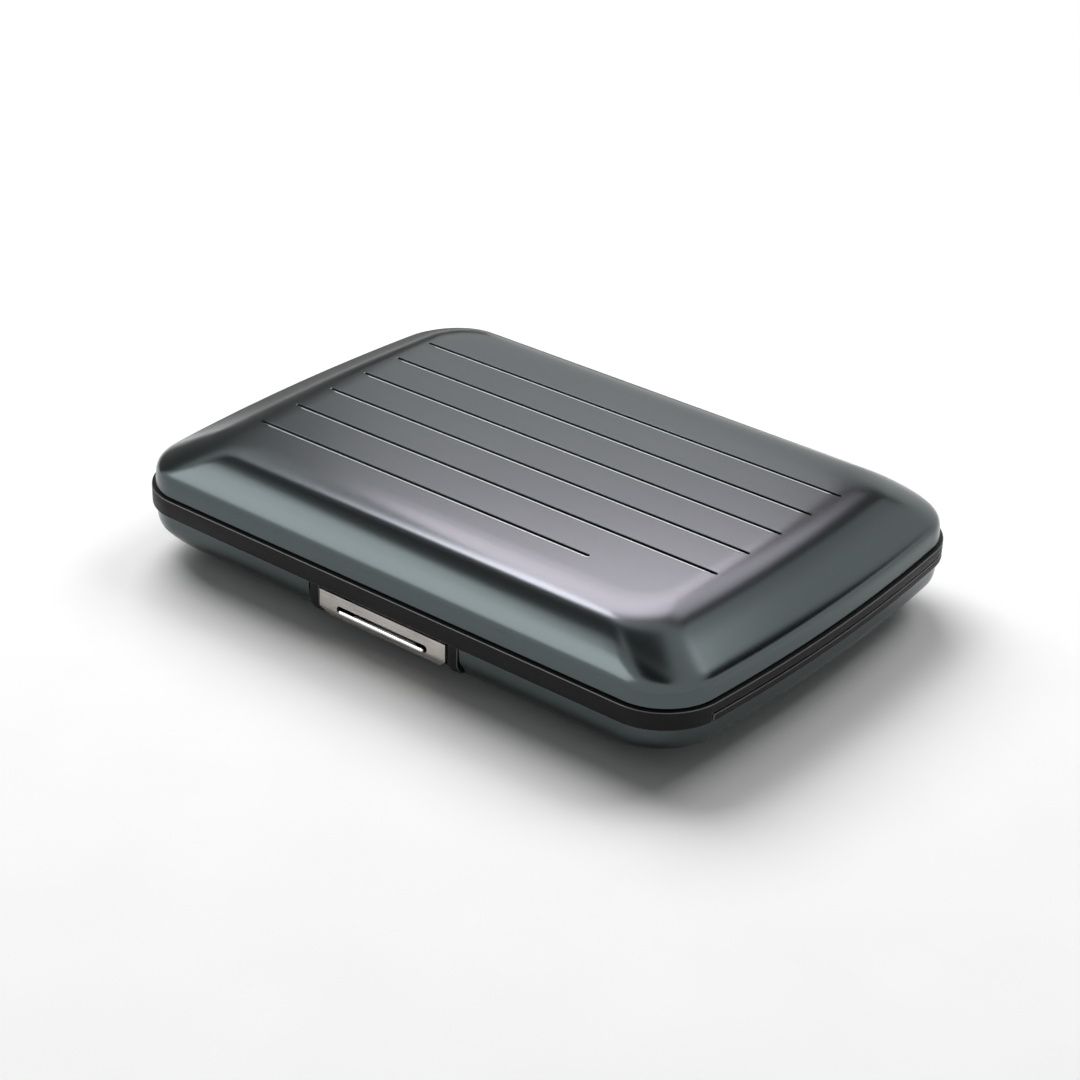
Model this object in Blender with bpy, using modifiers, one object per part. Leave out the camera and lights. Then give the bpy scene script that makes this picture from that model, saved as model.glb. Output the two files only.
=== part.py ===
"""Aluminium card wallet: two pressed shells on black frames, hinged along the back,
with a press latch at the front and a folding card file inside.

Metres, +X along the wallet, -Y to the latch, +Z up, the origin on the surface it lies on."""
import math

import bmesh
import bpy
from mathutils import Matrix, Vector

# The outline that both shells share
shell_length = 0.1074
shell_width = 0.0738
end_bow = 0.0022
rim_corner_radius = 0.0085
crown_corner_radius = 0.0065
corner_steps = 8
end_steps = 8

# The pressed form of a shell, from its rim to its flat crown
lower_depth = 0.0085
upper_depth = 0.0080
shell_wall = 0.0008
end_shoulder = 0.0102
side_shoulder = 0.0064
end_fall = 0.0022
side_fall = 0.0060
# Share of the shoulder's width, and share of the shell's depth
shoulder_shares = (
    (0.0, 0.0), (0.02, 0.30), (0.05, 0.37), (0.11, 0.44), (0.20, 0.506),
    (0.50, 0.6875), (0.78, 0.844), (0.89, 0.894), (1.0, 0.931),
)
# Share of the fall past the shoulder, and share of the shell's depth
fall_shares = ((0.3, 0.9725), (1.0, 1.0))

# Grooves pressed across the crowns
groove_count = 6
groove_end_inset = 0.00065
groove_side_inset = 0.00475
groove_width = 0.00065
groove_depth = 0.00028
bare_field_length = 0.0167
groove_sides = 12

# Gaps that keep neighbours apart, the cuts' overrun, and how meshes are closed and shaded
seat_gap = 0.0003
cut_overrun = 0.002
weld_reach = 0.000001
smooth_angle = math.radians(35)

# The black frames between the shells
band_height = 0.0035
frame_outset = 0.0006
frame_inset = 0.0011
frame_wall = 0.0012
frame_reach = 0.0022
seam_share = 0.457
apron_wall = 0.0010
apron_return = 0.0078

# The hinge at the back
lid_opening = math.radians(45)
hinge_inset = 0.0010
knuckle_radius = 0.0013
knuckle_bore_radius = 0.00062
hinge_pin_radius = 0.00055
base_knuckle_length = 0.0060
lid_knuckle_length = 0.0040
hinge_end_inset = 0.0257
relief_slack = math.radians(2)
round_sides = 20

# The press latch at the front
plate_length = 0.0243
plate_height = 0.0043
plate_sheet = 0.0005
plate_proud = 0.0002
plate_bend_height = 0.0014
plate_bend_depth = 0.0008
plate_corner = 0.0015
ridge_end_inset = 0.00395
ridge_width = 0.0009
ridge_height = 0.0004
ridge_rise = 0.0018
bezel_side = 0.0018
bezel_chin = 0.0007
housing_back_wall = 0.0010
lever_gap = 0.00025
lever_depth = 0.0018
lever_swing = 0.00065
lever_height = 0.0035
lever_waist = 0.0012
lever_heel = 0.0006
pivot_drop = 0.0009
pivot_back = 0.0022
pivot_pin_radius = 0.0005
pivot_bore_radius = 0.00057
catch_sheet = 0.00035
catch_width = 0.0120
catch_root = 0.0026
catch_jog = 0.0008
nose_length = 0.0007
nose_height = 0.0007
keeper_lip = 0.0006
keeper_block_depth = 0.0014
keeper_block_side = 0.0017
catch_slot_play = 0.0008
spring_sheet = 0.0002
spring_end_gap = 0.00345
spring_width = 0.0011
spring_rise = 0.0007

# The card file
leaf_count = 6
leaf_corner_radius = 0.0075
leaf_sheet = 0.0004
card_pocket = 0.0012
note_pocket = 0.0044
pleat_wall = 0.0008
pleat_play = 0.0003
fold_clearance = 0.0005
side_pleat_depth = 0.0037
end_pleat_share = 0.46
pad_end_inset = 0.0064
pad_side_inset = 0.0059
pad_corner_radius = 0.0040

# Levels and lines worked out from the sizes above
half_length = shell_length / 2
half_width = shell_width / 2
bow_rate = end_bow / (half_length * half_width * half_width)
crown_half_length = half_length - end_shoulder - end_fall
crown_half_width = half_width - side_shoulder - side_fall
groove_length = 2 * (crown_half_length - groove_end_inset)
groove_pitch = 2 * (crown_half_width - groove_side_inset) / (groove_count - 1)
lower_rim = lower_depth
upper_rim = lower_rim + band_height
crown = upper_rim + upper_depth
apron_foot = lower_rim + seat_gap
flange_top = upper_rim - seat_gap
seam = apron_foot + (flange_top - apron_foot) * seam_share
frame_back = frame_inset + frame_wall
hinge_y = half_width - hinge_inset
hinge_z = (lower_rim + upper_rim) / 2
hinge_x = half_length - hinge_end_inset
corner_line = half_width - apron_return
front = -half_width

# The latch, from the plate at the front to the keeper behind it
plate_top = lower_rim - seat_gap
plate_foot = plate_top - plate_height
plate_face = front - plate_proud
plate_back = plate_face + plate_sheet
ridge_length = plate_length - 2 * ridge_end_inset
pocket_half = plate_length / 2 + seat_gap
spring_length = 2 * (pocket_half - spring_end_gap)
housing_half = pocket_half + bezel_side
housing_foot = plate_foot - bezel_chin
pocket_top = lower_rim + 2 * seat_gap
bend_level = plate_foot + plate_bend_height
catch_front = plate_back + lever_gap
catch_back = catch_front + catch_sheet
lever_front = catch_back + lever_gap
pivot_y = front + pivot_back
pivot_z = lower_rim - pivot_drop
lever_back = lever_front + lever_depth
heel_back = lever_back - lever_heel
pocket_back = lever_back + lever_swing
housing_back = pocket_back + housing_back_wall
slot_half = catch_width / 2 + catch_slot_play
keeper_half = slot_half + keeper_block_side
keeper_face = catch_back + catch_jog + lever_gap
keeper_top = seam + seat_gap / 2 + keeper_lip
nose_foot = keeper_top + lever_gap
housing_outline = (
    (front, lower_rim), (front, bend_level), (front + plate_bend_depth, plate_foot),
    (front + plate_bend_depth + housing_back_wall * 2, housing_foot),
    (housing_back, housing_foot), (housing_back, seam - seat_gap / 2),
    (front + frame_inset, seam - seat_gap / 2), (front + frame_inset, lower_rim),
)

# The stack of leaves and end panels, midway between the crowns
stack_height = (leaf_count + 2) * leaf_sheet + leaf_count * card_pocket + note_pocket
stack_foot = (crown - stack_height) / 2
stack_top = (crown + stack_height) / 2


def shoulder_share_at(depth_share):
    """How far in a shoulder is, as a share of its width, at a share of the shell's depth."""
    for (near, low), (far, high) in zip(shoulder_shares, shoulder_shares[1:]):
        if depth_share < high:
            return near + (far - near) * (depth_share - low) / (high - low)
    return 1


# The leaves end where the bellows' folds clear the shells' inner faces beside the end panels
panel_inset_share = shoulder_share_at(max((lower_rim - stack_foot + shell_wall) / lower_depth,
                                          (stack_top + shell_wall - upper_rim) / upper_depth))
fold_room = pleat_play + pleat_wall + fold_clearance
leaf_width = 2 * (half_width - panel_inset_share * side_shoulder - fold_room)
side_straight = leaf_width / 2 - leaf_corner_radius
panel_end = (half_length - panel_inset_share * end_shoulder) * (1 - bow_rate * side_straight ** 2)
leaf_length = 2 * (panel_end - fold_room)
back_straight = leaf_length / 2 - leaf_corner_radius
back_pleat_depth = half_width - frame_back - seat_gap - leaf_width / 2 - pleat_play
pad_length = leaf_length - 2 * pad_end_inset
pad_width = leaf_width - 2 * pad_side_inset

collection = None
cutters = None


def clear_scene():
    for item in list(bpy.data.objects):
        bpy.data.objects.remove(item, do_unlink=True)


def finish(name, color, roughness, metallic=0.0):
    """A plain finish for one sub-part."""
    made = bpy.data.materials.new(name)
    made.use_nodes = True
    shader = made.node_tree.nodes["Principled BSDF"]
    shader.inputs["Base Color"].default_value = (*color, 1.0)
    shader.inputs["Roughness"].default_value = roughness
    shader.inputs["Metallic"].default_value = metallic
    made.diffuse_color = (*color, 1.0)
    return made


def place(mesh, name, material=None, cutter=False):
    """Puts a mesh in the scene, as a piece or as a hidden guide."""
    made = bpy.data.objects.new(name, mesh)
    if cutter:
        cutters.objects.link(made)
        made.hide_render = True
        made.display_type = "WIRE"
        return made
    collection.objects.link(made)
    mesh.materials.append(material)
    mesh.shade_smooth()
    mesh.set_sharp_from_angle(angle=smooth_angle)
    return made


def mesh_from(work, name):
    bmesh.ops.recalc_face_normals(work, faces=work.faces)
    mesh = bpy.data.meshes.new(name)
    work.to_mesh(mesh)
    work.free()
    return mesh


def ring(inset_x, inset_y, radius, z):
    """The wallet's outline drawn in by the insets: round corners and bowed short ends."""
    length = half_length - inset_x
    width = half_width - inset_y
    reach_x = length - radius
    reach_y = width - radius
    points = []
    for turn, (side_x, side_y) in enumerate(((1, 1), (-1, 1), (-1, -1), (1, -1))):
        for step in range(corner_steps + 1):
            angle = (turn + step / corner_steps) * math.pi / 2
            points.append((side_x * reach_x + radius * math.cos(angle),
                           side_y * reach_y + radius * math.sin(angle)))
        if turn in (1, 3):
            for step in range(1, end_steps):
                share = step / end_steps * 2 - 1
                points.append((side_x * length, -side_y * share * reach_y))
    return [Vector((x * (1 - bow_rate * y * y), y, z)) for x, y in points]


def even_ring(inset, z):
    """The outline drawn in evenly, for walls that follow the rim."""
    return ring(inset, inset, rim_corner_radius - inset, z)


def loft(rings, name, closed=False, cap=False):
    """Skins a row of rings; a closed row comes back to its first ring."""
    work = bmesh.new()
    rows = [[work.verts.new(point) for point in points] for points in rings]
    if closed:
        rows.append(rows[0])
    for near, far in zip(rows, rows[1:]):
        for n in range(len(near)):
            m = (n + 1) % len(near)
            work.faces.new((near[n], near[m], far[m], far[n]))
    if cap:
        work.faces.new(rows[-1])
    return mesh_from(work, name)


def box(low, high, name):
    """A block between two corners."""
    work = bmesh.new()
    low, high = Vector(low), Vector(high)
    size = high - low
    bmesh.ops.create_cube(work, size=1)
    bmesh.ops.scale(work, vec=size, verts=work.verts)
    bmesh.ops.translate(work, vec=(low + high) / 2, verts=work.verts)
    return mesh_from(work, name)


def rod(radius, low_x, high_x, y, z, name, sides=round_sides):
    """A round bar along X."""
    work = bmesh.new()
    bmesh.ops.create_cone(work, cap_ends=True, segments=sides, radius1=radius,
                          radius2=radius, depth=high_x - low_x)
    bmesh.ops.rotate(work, matrix=Matrix.Rotation(math.pi / 2, 3, "Y"), verts=work.verts)
    bmesh.ops.translate(work, vec=((low_x + high_x) / 2, y, z), verts=work.verts)
    return mesh_from(work, name)


def outline_mesh(points, thickness, name, turn=None):
    """A flat outline given a thickness, turned into place and made one closed mesh."""
    curve = bpy.data.curves.new(name, "CURVE")
    curve.dimensions = "2D"
    curve.fill_mode = "BOTH"
    curve.extrude = thickness / 2
    spline = curve.splines.new("POLY")
    spline.points.add(len(points) - 1)
    for point, (u, v) in zip(spline.points, points):
        point.co = (u, v, 0, 1)
    spline.use_cyclic_u = True
    drawn = bpy.data.objects.new(name + "_outline", curve)
    cutters.objects.link(drawn)
    bpy.context.view_layer.update()
    seen = drawn.evaluated_get(bpy.context.evaluated_depsgraph_get())
    mesh = bpy.data.meshes.new_from_object(seen)
    bpy.data.objects.remove(drawn)
    work = bmesh.new()
    work.from_mesh(mesh)
    bmesh.ops.remove_doubles(work, verts=work.verts, dist=weld_reach)
    if turn is not None:
        bmesh.ops.transform(work, matrix=turn, verts=work.verts)
    bpy.data.meshes.remove(mesh)
    return mesh_from(work, name)


def along_x(points, low_x, high_x, name):
    """An outline in Y and Z, run along X."""
    turn = Matrix(((0, 0, 1, (low_x + high_x) / 2), (1, 0, 0, 0), (0, 1, 0, 0), (0, 0, 0, 1)))
    return outline_mesh(points, high_x - low_x, name, turn)


def along_y(points, low_y, high_y, name):
    """An outline in X and Z, run along Y."""
    turn = Matrix(((1, 0, 0, 0), (0, 0, -1, (low_y + high_y) / 2), (0, 1, 0, 0), (0, 0, 0, 1)))
    return outline_mesh(points, high_y - low_y, name, turn)


def sheet(length, width, radius, low_z, thickness, name):
    """A flat sheet with round corners, lying level."""
    points = []
    for turn, (side_x, side_y) in enumerate(((1, 1), (-1, 1), (-1, -1), (1, -1))):
        for step in range(corner_steps + 1):
            angle = (turn + step / corner_steps) * math.pi / 2
            points.append((side_x * (length / 2 - radius) + radius * math.cos(angle),
                           side_y * (width / 2 - radius) + radius * math.sin(angle)))
    turn = Matrix.Translation((0, 0, low_z + thickness / 2))
    return outline_mesh(points, thickness, name, turn)


def strip(points, thickness):
    """The outline of a bent strip with its back along the points."""
    path = [Vector(point) for point in points]
    sides = []
    for n, point in enumerate(path):
        normals = []
        for a, b in zip(path[max(n - 1, 0):n + 1], path[max(n, 1):n + 2]):
            run = (b - a).normalized()
            normals.append(Vector((-run.y, run.x)))
        middle = sum(normals, Vector((0, 0))).normalized()
        sides.append(point + middle * thickness / middle.dot(normals[0]))
    return [tuple(p) for p in path] + [tuple(p) for p in reversed(sides)]


def change(target, tool, operation):
    """Cuts a piece with a guide, or grows it by one."""
    step = target.modifiers.new(tool.name, "BOOLEAN")
    step.operation = operation
    step.object = tool
    step.solver = "EXACT"


def cut(target, mesh, name):
    change(target, place(mesh, name, cutter=True), "DIFFERENCE")


def grow(target, mesh, name):
    change(target, place(mesh, name, cutter=True), "UNION")


def carry(pivot, pieces):
    """Hangs pieces on an empty that stands on their joint's axis."""
    bpy.context.view_layer.update()
    for piece in pieces:
        piece.parent = pivot
        piece.matrix_parent_inverse = pivot.matrix_world.inverted()


def pivot_at(name, y, z):
    made = bpy.data.objects.new(name, None)
    made.location = (0, y, z)
    collection.objects.link(made)
    return made


def groove(length, middle_x, y, z):
    """A slim round-ended bar that sinks a groove into a crown at height z."""
    half = groove_width / 2
    radius = (half * half + groove_depth * groove_depth) / (2 * groove_depth)
    work = bmesh.new()
    bmesh.ops.create_uvsphere(work, u_segments=groove_sides, v_segments=groove_sides // 2 + 1,
                              radius=radius)
    bmesh.ops.rotate(work, matrix=Matrix.Rotation(math.pi / 2, 3, "Y"), verts=work.verts)
    stretch = length / 2 - half
    edge = radius * math.sin(math.pi / groove_sides)
    for corner in work.verts:
        if corner.co.x > edge:
            corner.co.x += stretch
        elif corner.co.x < -edge:
            corner.co.x -= stretch
    lift = radius - groove_depth
    side = 1 if z > hinge_z else -1
    bmesh.ops.translate(work, vec=(middle_x, y, z + side * lift), verts=work.verts)
    return mesh_from(work, "groove")


def shell(name, rim, depth, side, material):
    """A pressed shell, rim at the frame and crown outwards; side is 1 for up, -1 for down."""
    rings = []
    for inset_share, height_share in shoulder_shares:
        radius = rim_corner_radius + (crown_corner_radius - rim_corner_radius) * inset_share
        rings.append(ring(inset_share * end_shoulder, inset_share * side_shoulder, radius,
                          rim + side * height_share * depth))
    for inset_share, height_share in fall_shares:
        rings.append(ring(end_shoulder + inset_share * end_fall,
                          side_shoulder + inset_share * side_fall, crown_corner_radius,
                          rim + side * height_share * depth))
    mesh = loft(rings, name, cap=True)
    up = sum((face.normal.z * face.area for face in mesh.polygons), 0.0)
    if up * side < 0:
        mesh.flip_normals()
    made = place(mesh, name, material)
    wall = made.modifiers.new("wall", "SOLIDIFY")
    wall.thickness = shell_wall
    wall.offset = -1
    wall.use_even_offset = True
    return made


def cut_grooves(target, z, bare_field):
    """Sinks the row of grooves; the front one stops short of the bare field, if it has one."""
    for n in range(groove_count):
        y = (n - (groove_count - 1) / 2) * groove_pitch
        short = bare_field if n == 0 else 0
        cut(target, groove(groove_length - short, -short / 2, y, z),
            f"{target.name}_groove_{n + 1}")


def frame_ring(profile, name):
    """A frame's section, in insets and heights, run right round the wallet."""
    return loft([even_ring(inset, z) for inset, z in profile], name, closed=True)


def hinge_spans():
    """The places of the knuckles on each hinge: the middle one and its two neighbours."""
    step = (base_knuckle_length + lid_knuckle_length) / 2 + seat_gap
    for middle in (-hinge_x, hinge_x):
        yield middle, (middle - step, middle + step)


def knuckle(middle, length, radius, name):
    return rod(radius, middle - length / 2, middle + length / 2, hinge_y, hinge_z, name)


def add_knuckles(frame, own, other, own_length, other_length):
    """Gives a frame its knuckles and bores, and clears it round the other frame's."""
    for n, middle in enumerate(other):
        cut(frame, knuckle(middle, other_length + 2 * seat_gap, knuckle_radius + seat_gap,
                           "clearing"), f"{frame.name}_clearing_{n + 1}")
    for n, middle in enumerate(own):
        grow(frame, knuckle(middle, own_length, knuckle_radius, "knuckle"),
             f"{frame.name}_knuckle_{n + 1}")
    for n, middle in enumerate(own):
        cut(frame, knuckle(middle, own_length + 2 * cut_overrun, knuckle_bore_radius, "bore"),
            f"{frame.name}_bore_{n + 1}")


def back_relief():
    """The wedge that the open lid needs between the two frames, behind the hinge line."""
    reach = hinge_inset + frame_outset + cut_overrun
    rise = reach * math.tan(lid_opening / 2 + relief_slack)
    points = ((hinge_y, hinge_z), (hinge_y + reach, hinge_z - rise),
              (hinge_y + reach, hinge_z + rise))
    return along_x(points, -half_length, half_length, "back_relief")


def make_upper_frame(material):
    """The lid's frame: a flange under the shell, a wall inside it, and the front apron."""
    wall_top = upper_rim + frame_reach
    profile = ((-frame_outset, apron_foot), (-frame_outset, flange_top),
               (frame_inset, flange_top), (frame_inset, wall_top), (frame_back, wall_top),
               (frame_back, seam + seat_gap / 2), (apron_wall - frame_outset, seam + seat_gap / 2),
               (apron_wall - frame_outset, apron_foot))
    frame = place(frame_ring(profile, "upper_frame"), "upper_frame", material)
    low = (-shell_length, -corner_line, 0)
    high = (shell_length, shell_width, seam + seat_gap / 2)
    cut(frame, box(low, high, "apron_end"), "apron_end")
    block_front = front + frame_inset + frame_wall / 2
    grow(frame, box((-keeper_half, block_front, seam + seat_gap / 2),
                    (keeper_half, front + frame_back + keeper_block_depth, wall_top),
                    "keeper_block"), "keeper_block")
    cut(frame, box((-slot_half, front + apron_wall - frame_outset, seam - cut_overrun),
                   (slot_half, keeper_face, nose_foot + nose_height + catch_slot_play), "catch_slot"),
        "catch_slot")
    cut(frame, box((-slot_half, keeper_face - frame_wall / 2, keeper_top),
                   (slot_half, keeper_face + nose_length, nose_foot + nose_height + catch_slot_play),
                   "keeper_window"), "keeper_window")
    cut(frame, back_relief(), "upper_relief")
    return frame


def make_lower_frame(material):
    """The base's frame: a flange over the shell, a wall inside it, and the latch housing."""
    wall_foot = lower_rim - frame_reach
    top = seam - seat_gap / 2
    profile = ((-frame_outset, apron_foot), (frame_inset, apron_foot), (frame_inset, wall_foot),
               (frame_back, wall_foot), (frame_back, top), (-frame_outset, top))
    frame = place(frame_ring(profile, "lower_frame"), "lower_frame", material)
    apron_back = apron_wall - frame_outset + seat_gap
    clearing = ((-frame_outset - cut_overrun, lower_rim - cut_overrun / 2),
                (-frame_outset - cut_overrun, seam + cut_overrun),
                (apron_back, seam + cut_overrun), (apron_back, lower_rim - cut_overrun / 2))
    rim_cut = place(frame_ring(clearing, "apron_clearing"), "apron_clearing", cutter=True)
    keep = box((-shell_length, -shell_width, 0), (shell_length, -corner_line + seat_gap, crown),
               "front_part")
    change(rim_cut, place(keep, "front_part", cutter=True), "INTERSECT")
    change(frame, rim_cut, "DIFFERENCE")
    grow(frame, along_x(housing_outline, -housing_half, housing_half, "latch_housing"),
         "latch_housing")
    cut(frame, box((-pocket_half, front - cut_overrun, plate_foot - bezel_chin / 2),
                   (pocket_half, pocket_back, pocket_top), "latch_pocket"), "latch_pocket")
    cut(frame, box((-slot_half, front - cut_overrun, pocket_top - cut_overrun / 2),
                   (slot_half, keeper_face + nose_length, seam + cut_overrun), "catch_way"),
        "catch_way")
    cut(frame, rod(pivot_bore_radius, -housing_half - cut_overrun, housing_half + cut_overrun,
                   pivot_y, pivot_z, "pivot_bore"), "pivot_bore")
    cut(frame, back_relief(), "lower_relief")
    return frame


def make_latch(steel, plastic):
    """The press plate, the lever behind it, and the sprung catch that holds the lid."""
    bent = strip(((plate_face, plate_top), (plate_face, bend_level),
                  (plate_face + plate_bend_depth, plate_foot)), plate_sheet)
    plate = place(along_x(bent, -plate_length / 2, plate_length / 2, "latch_plate"),
                  "latch_plate", steel)
    for n, side in enumerate((-1, 1)):
        end = side * plate_length / 2
        corner = ((end - side * plate_corner, plate_foot - seat_gap),
                  (end + side * seat_gap, plate_foot - seat_gap),
                  (end + side * seat_gap, plate_foot + plate_corner))
        cut(plate, along_y(corner, front - cut_overrun, front + cut_overrun, "plate_corner"),
            f"plate_corner_{n + 1}")
    ridge_y = plate_face + ridge_width / 2 - ridge_height
    grow(plate, rod(ridge_width / 2, -ridge_length / 2, ridge_length / 2, ridge_y,
                    plate_foot + ridge_rise, "plate_ridge"), "plate_ridge")

    lever_top = plate_top + seat_gap
    lever_foot = lever_top - lever_height
    waist = pivot_z - lever_waist
    profile = ((lever_front, lever_foot), (lever_front, lever_top), (lever_back, lever_top),
               (lever_back, waist), (heel_back, waist - lever_heel), (heel_back, lever_foot))
    lever_half = plate_length / 2 - seat_gap
    lever = place(along_x(profile, -lever_half, lever_half, "latch_lever"), "latch_lever", plastic)
    cut(lever, rod(pivot_bore_radius, -plate_length, plate_length, pivot_y, pivot_z,
                   "lever_bore"), "lever_bore")

    jog_foot = plate_top + lever_gap
    nose_top = nose_foot + nose_height
    bar_back = catch_back + catch_jog
    profile = ((catch_front, plate_top - catch_root), (catch_front, jog_foot),
               (bar_back - catch_sheet, jog_foot + catch_jog), (bar_back - catch_sheet, nose_top),
               (bar_back, nose_top), (bar_back + nose_length, nose_foot + nose_height / 2),
               (bar_back + nose_length, nose_foot), (bar_back, nose_foot),
               (bar_back, jog_foot + catch_jog - catch_sheet / 2),
               (catch_back, jog_foot - catch_sheet / 2), (catch_back, plate_top - catch_root))
    catch = place(along_x(profile, -catch_width / 2, catch_width / 2, "latch_catch"),
                  "latch_catch", steel)
    return plate, lever, catch


def make_latch_spring(steel):
    """A bowed leaf between the housing's back wall and the lever's heel."""
    wall = pocket_back - seat_gap
    middle = heel_back + seat_gap + spring_sheet
    points = []
    for step in range(-corner_steps // 2, corner_steps // 2 + 1):
        share = 2 * step / corner_steps
        points.append((share * spring_length / 2, middle + (wall - middle) * share * share))
    outline = strip(points, -spring_sheet)
    low = plate_foot + spring_rise
    turn = Matrix.Translation((0, 0, low + spring_width / 2))
    return place(outline_mesh(outline, spring_width, "latch_spring", turn), "latch_spring", steel)


def leaf_levels():
    """The undersides of the leaves, from the lowest up, with a deep pocket in the middle."""
    level = (crown - stack_height) / 2 + leaf_sheet
    for n in range(leaf_count):
        level += note_pocket if n == leaf_count // 2 else card_pocket
        yield level
        level += leaf_sheet


def pleats(depth, start):
    """A bellows' section: folded in at each leaf and out at each pocket."""
    middles = [stack_foot + leaf_sheet / 2]
    middles += [level + leaf_sheet / 2 for level in leaf_levels()]
    middles.append(stack_top - leaf_sheet / 2)
    inner = start + pleat_wall / 2
    outer = start + depth - pleat_wall / 2
    points = [(inner, middles[0])]
    for n, (low, high) in enumerate(zip(middles, middles[1:])):
        share = end_pleat_share if n in (0, len(middles) - 2) else 1
        points.append((inner + (outer - inner) * share, (low + high) / 2))
        points.append((inner, high))
    half = pleat_wall / 2
    return [(u - half, v) for u, v in points] + [(u + half, v) for u, v in reversed(points)]


def make_card_file(fabric, board, foam):
    """Leaves, end panels, bellows and the pads that hold the file in the shells."""
    names = ("lower_panel", "upper_panel")
    panels = [place(sheet(leaf_length, leaf_width, leaf_corner_radius, level, leaf_sheet, name),
                    name, board)
              for name, level in zip(names, (stack_foot, stack_top - leaf_sheet))]
    leaves = [place(sheet(leaf_length, leaf_width, leaf_corner_radius, level, leaf_sheet,
                          "divider_leaf"), f"divider_leaf_{n + 1}", board)
              for n, level in enumerate(leaf_levels())]
    section = pleats(side_pleat_depth, leaf_length / 2 + pleat_play)
    right = place(along_y(section, -side_straight, side_straight, "right_bellows"),
                  "right_bellows", fabric)
    mirrored = [(-x, z) for x, z in section]
    left = place(along_y(mirrored, -side_straight, side_straight, "left_bellows"),
                 "left_bellows", fabric)
    section = pleats(back_pleat_depth, leaf_width / 2 + pleat_play)
    back = place(along_x(section, -back_straight, back_straight, "back_bellows"),
                 "back_bellows", fabric)
    floor = shell_wall + seat_gap
    pad_sheet = stack_foot - seat_gap - floor
    lower_pad = place(sheet(pad_length, pad_width, pad_corner_radius, floor, pad_sheet,
                            "lower_pad"), "lower_pad", foam)
    upper_pad = place(sheet(pad_length, pad_width, pad_corner_radius, stack_top + seat_gap,
                            pad_sheet, "upper_pad"), "upper_pad", foam)
    return panels, leaves, (left, right, back), (lower_pad, upper_pad)


def main():
    global collection, cutters
    clear_scene()
    collection = bpy.data.collections.new("aluminium_wallet")
    cutters = bpy.data.collections.new("wallet_guides")
    bpy.context.scene.collection.children.link(collection)
    bpy.context.scene.collection.children.link(cutters)

    aluminium = finish("anodised_aluminium", (0.10, 0.125, 0.125), 0.35, 1.0)
    plastic = finish("black_plastic", (0.012, 0.012, 0.012), 0.45)
    steel = finish("brushed_steel", (0.55, 0.52, 0.49), 0.3, 1.0)
    fabric = finish("bellows_fabric", (0.02, 0.02, 0.022), 0.9)
    board = finish("leaf_board", (0.03, 0.03, 0.032), 0.6)
    foam = finish("pad_foam", (0.05, 0.05, 0.05), 0.95)

    upper_shell = shell("upper_shell", upper_rim, upper_depth, 1, aluminium)
    cut_grooves(upper_shell, crown, bare_field_length)
    lower_shell = shell("lower_shell", lower_rim, lower_depth, -1, aluminium)
    cut_grooves(lower_shell, 0, 0)
    notch = housing_half + seat_gap
    cut(lower_shell, box((-notch, front - cut_overrun, housing_foot - seat_gap),
                         (notch, housing_back, lower_rim + cut_overrun), "latch_notch"),
        "latch_notch")

    upper_frame = make_upper_frame(plastic)
    lower_frame = make_lower_frame(plastic)
    base_places = [middle for middle, _ in hinge_spans()]
    lid_places = [place_x for _, pair in hinge_spans() for place_x in pair]
    add_knuckles(upper_frame, lid_places, base_places, lid_knuckle_length, base_knuckle_length)
    add_knuckles(lower_frame, base_places, lid_places, base_knuckle_length, lid_knuckle_length)
    reach = base_knuckle_length / 2 + lid_knuckle_length + seat_gap
    for name, middle in zip(("left_hinge_pin", "right_hinge_pin"), base_places):
        place(rod(hinge_pin_radius, middle - reach, middle + reach, hinge_y, hinge_z, name),
              name, steel)

    latch = make_latch(steel, plastic)
    place(rod(pivot_pin_radius, -housing_half + seat_gap, housing_half - seat_gap, pivot_y,
              pivot_z, "latch_pivot_pin"), "latch_pivot_pin", steel)
    make_latch_spring(steel)
    panels, leaves, bellows, pads = make_card_file(fabric, board, foam)

    carry(pivot_at("lid_hinge_line", hinge_y, hinge_z),
          [upper_shell, upper_frame, panels[1], pads[1]])
    for n, leaf in enumerate(leaves):
        carry(pivot_at(f"leaf_{n + 1}_hinge_line", hinge_y, hinge_z), [leaf])
    carry(pivot_at("latch_pivot_line", pivot_y, pivot_z), latch)


main()
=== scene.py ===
# %% [markdown]
# # A pressed aluminium card wallet
# The wallet is two shallow pressed shells, back to back, with black frames between them, a steel
# press latch at the front and a folding card file inside. The frame that is loaded here holds
# every piece at its real size and place. This lesson dresses it: fine shells, frames and file,
# their finishes, and the light of a plain studio.

import math

import bmesh
import bpy
from mathutils import Matrix, Vector
from mathutils.geometry import interpolate_bezier


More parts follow.
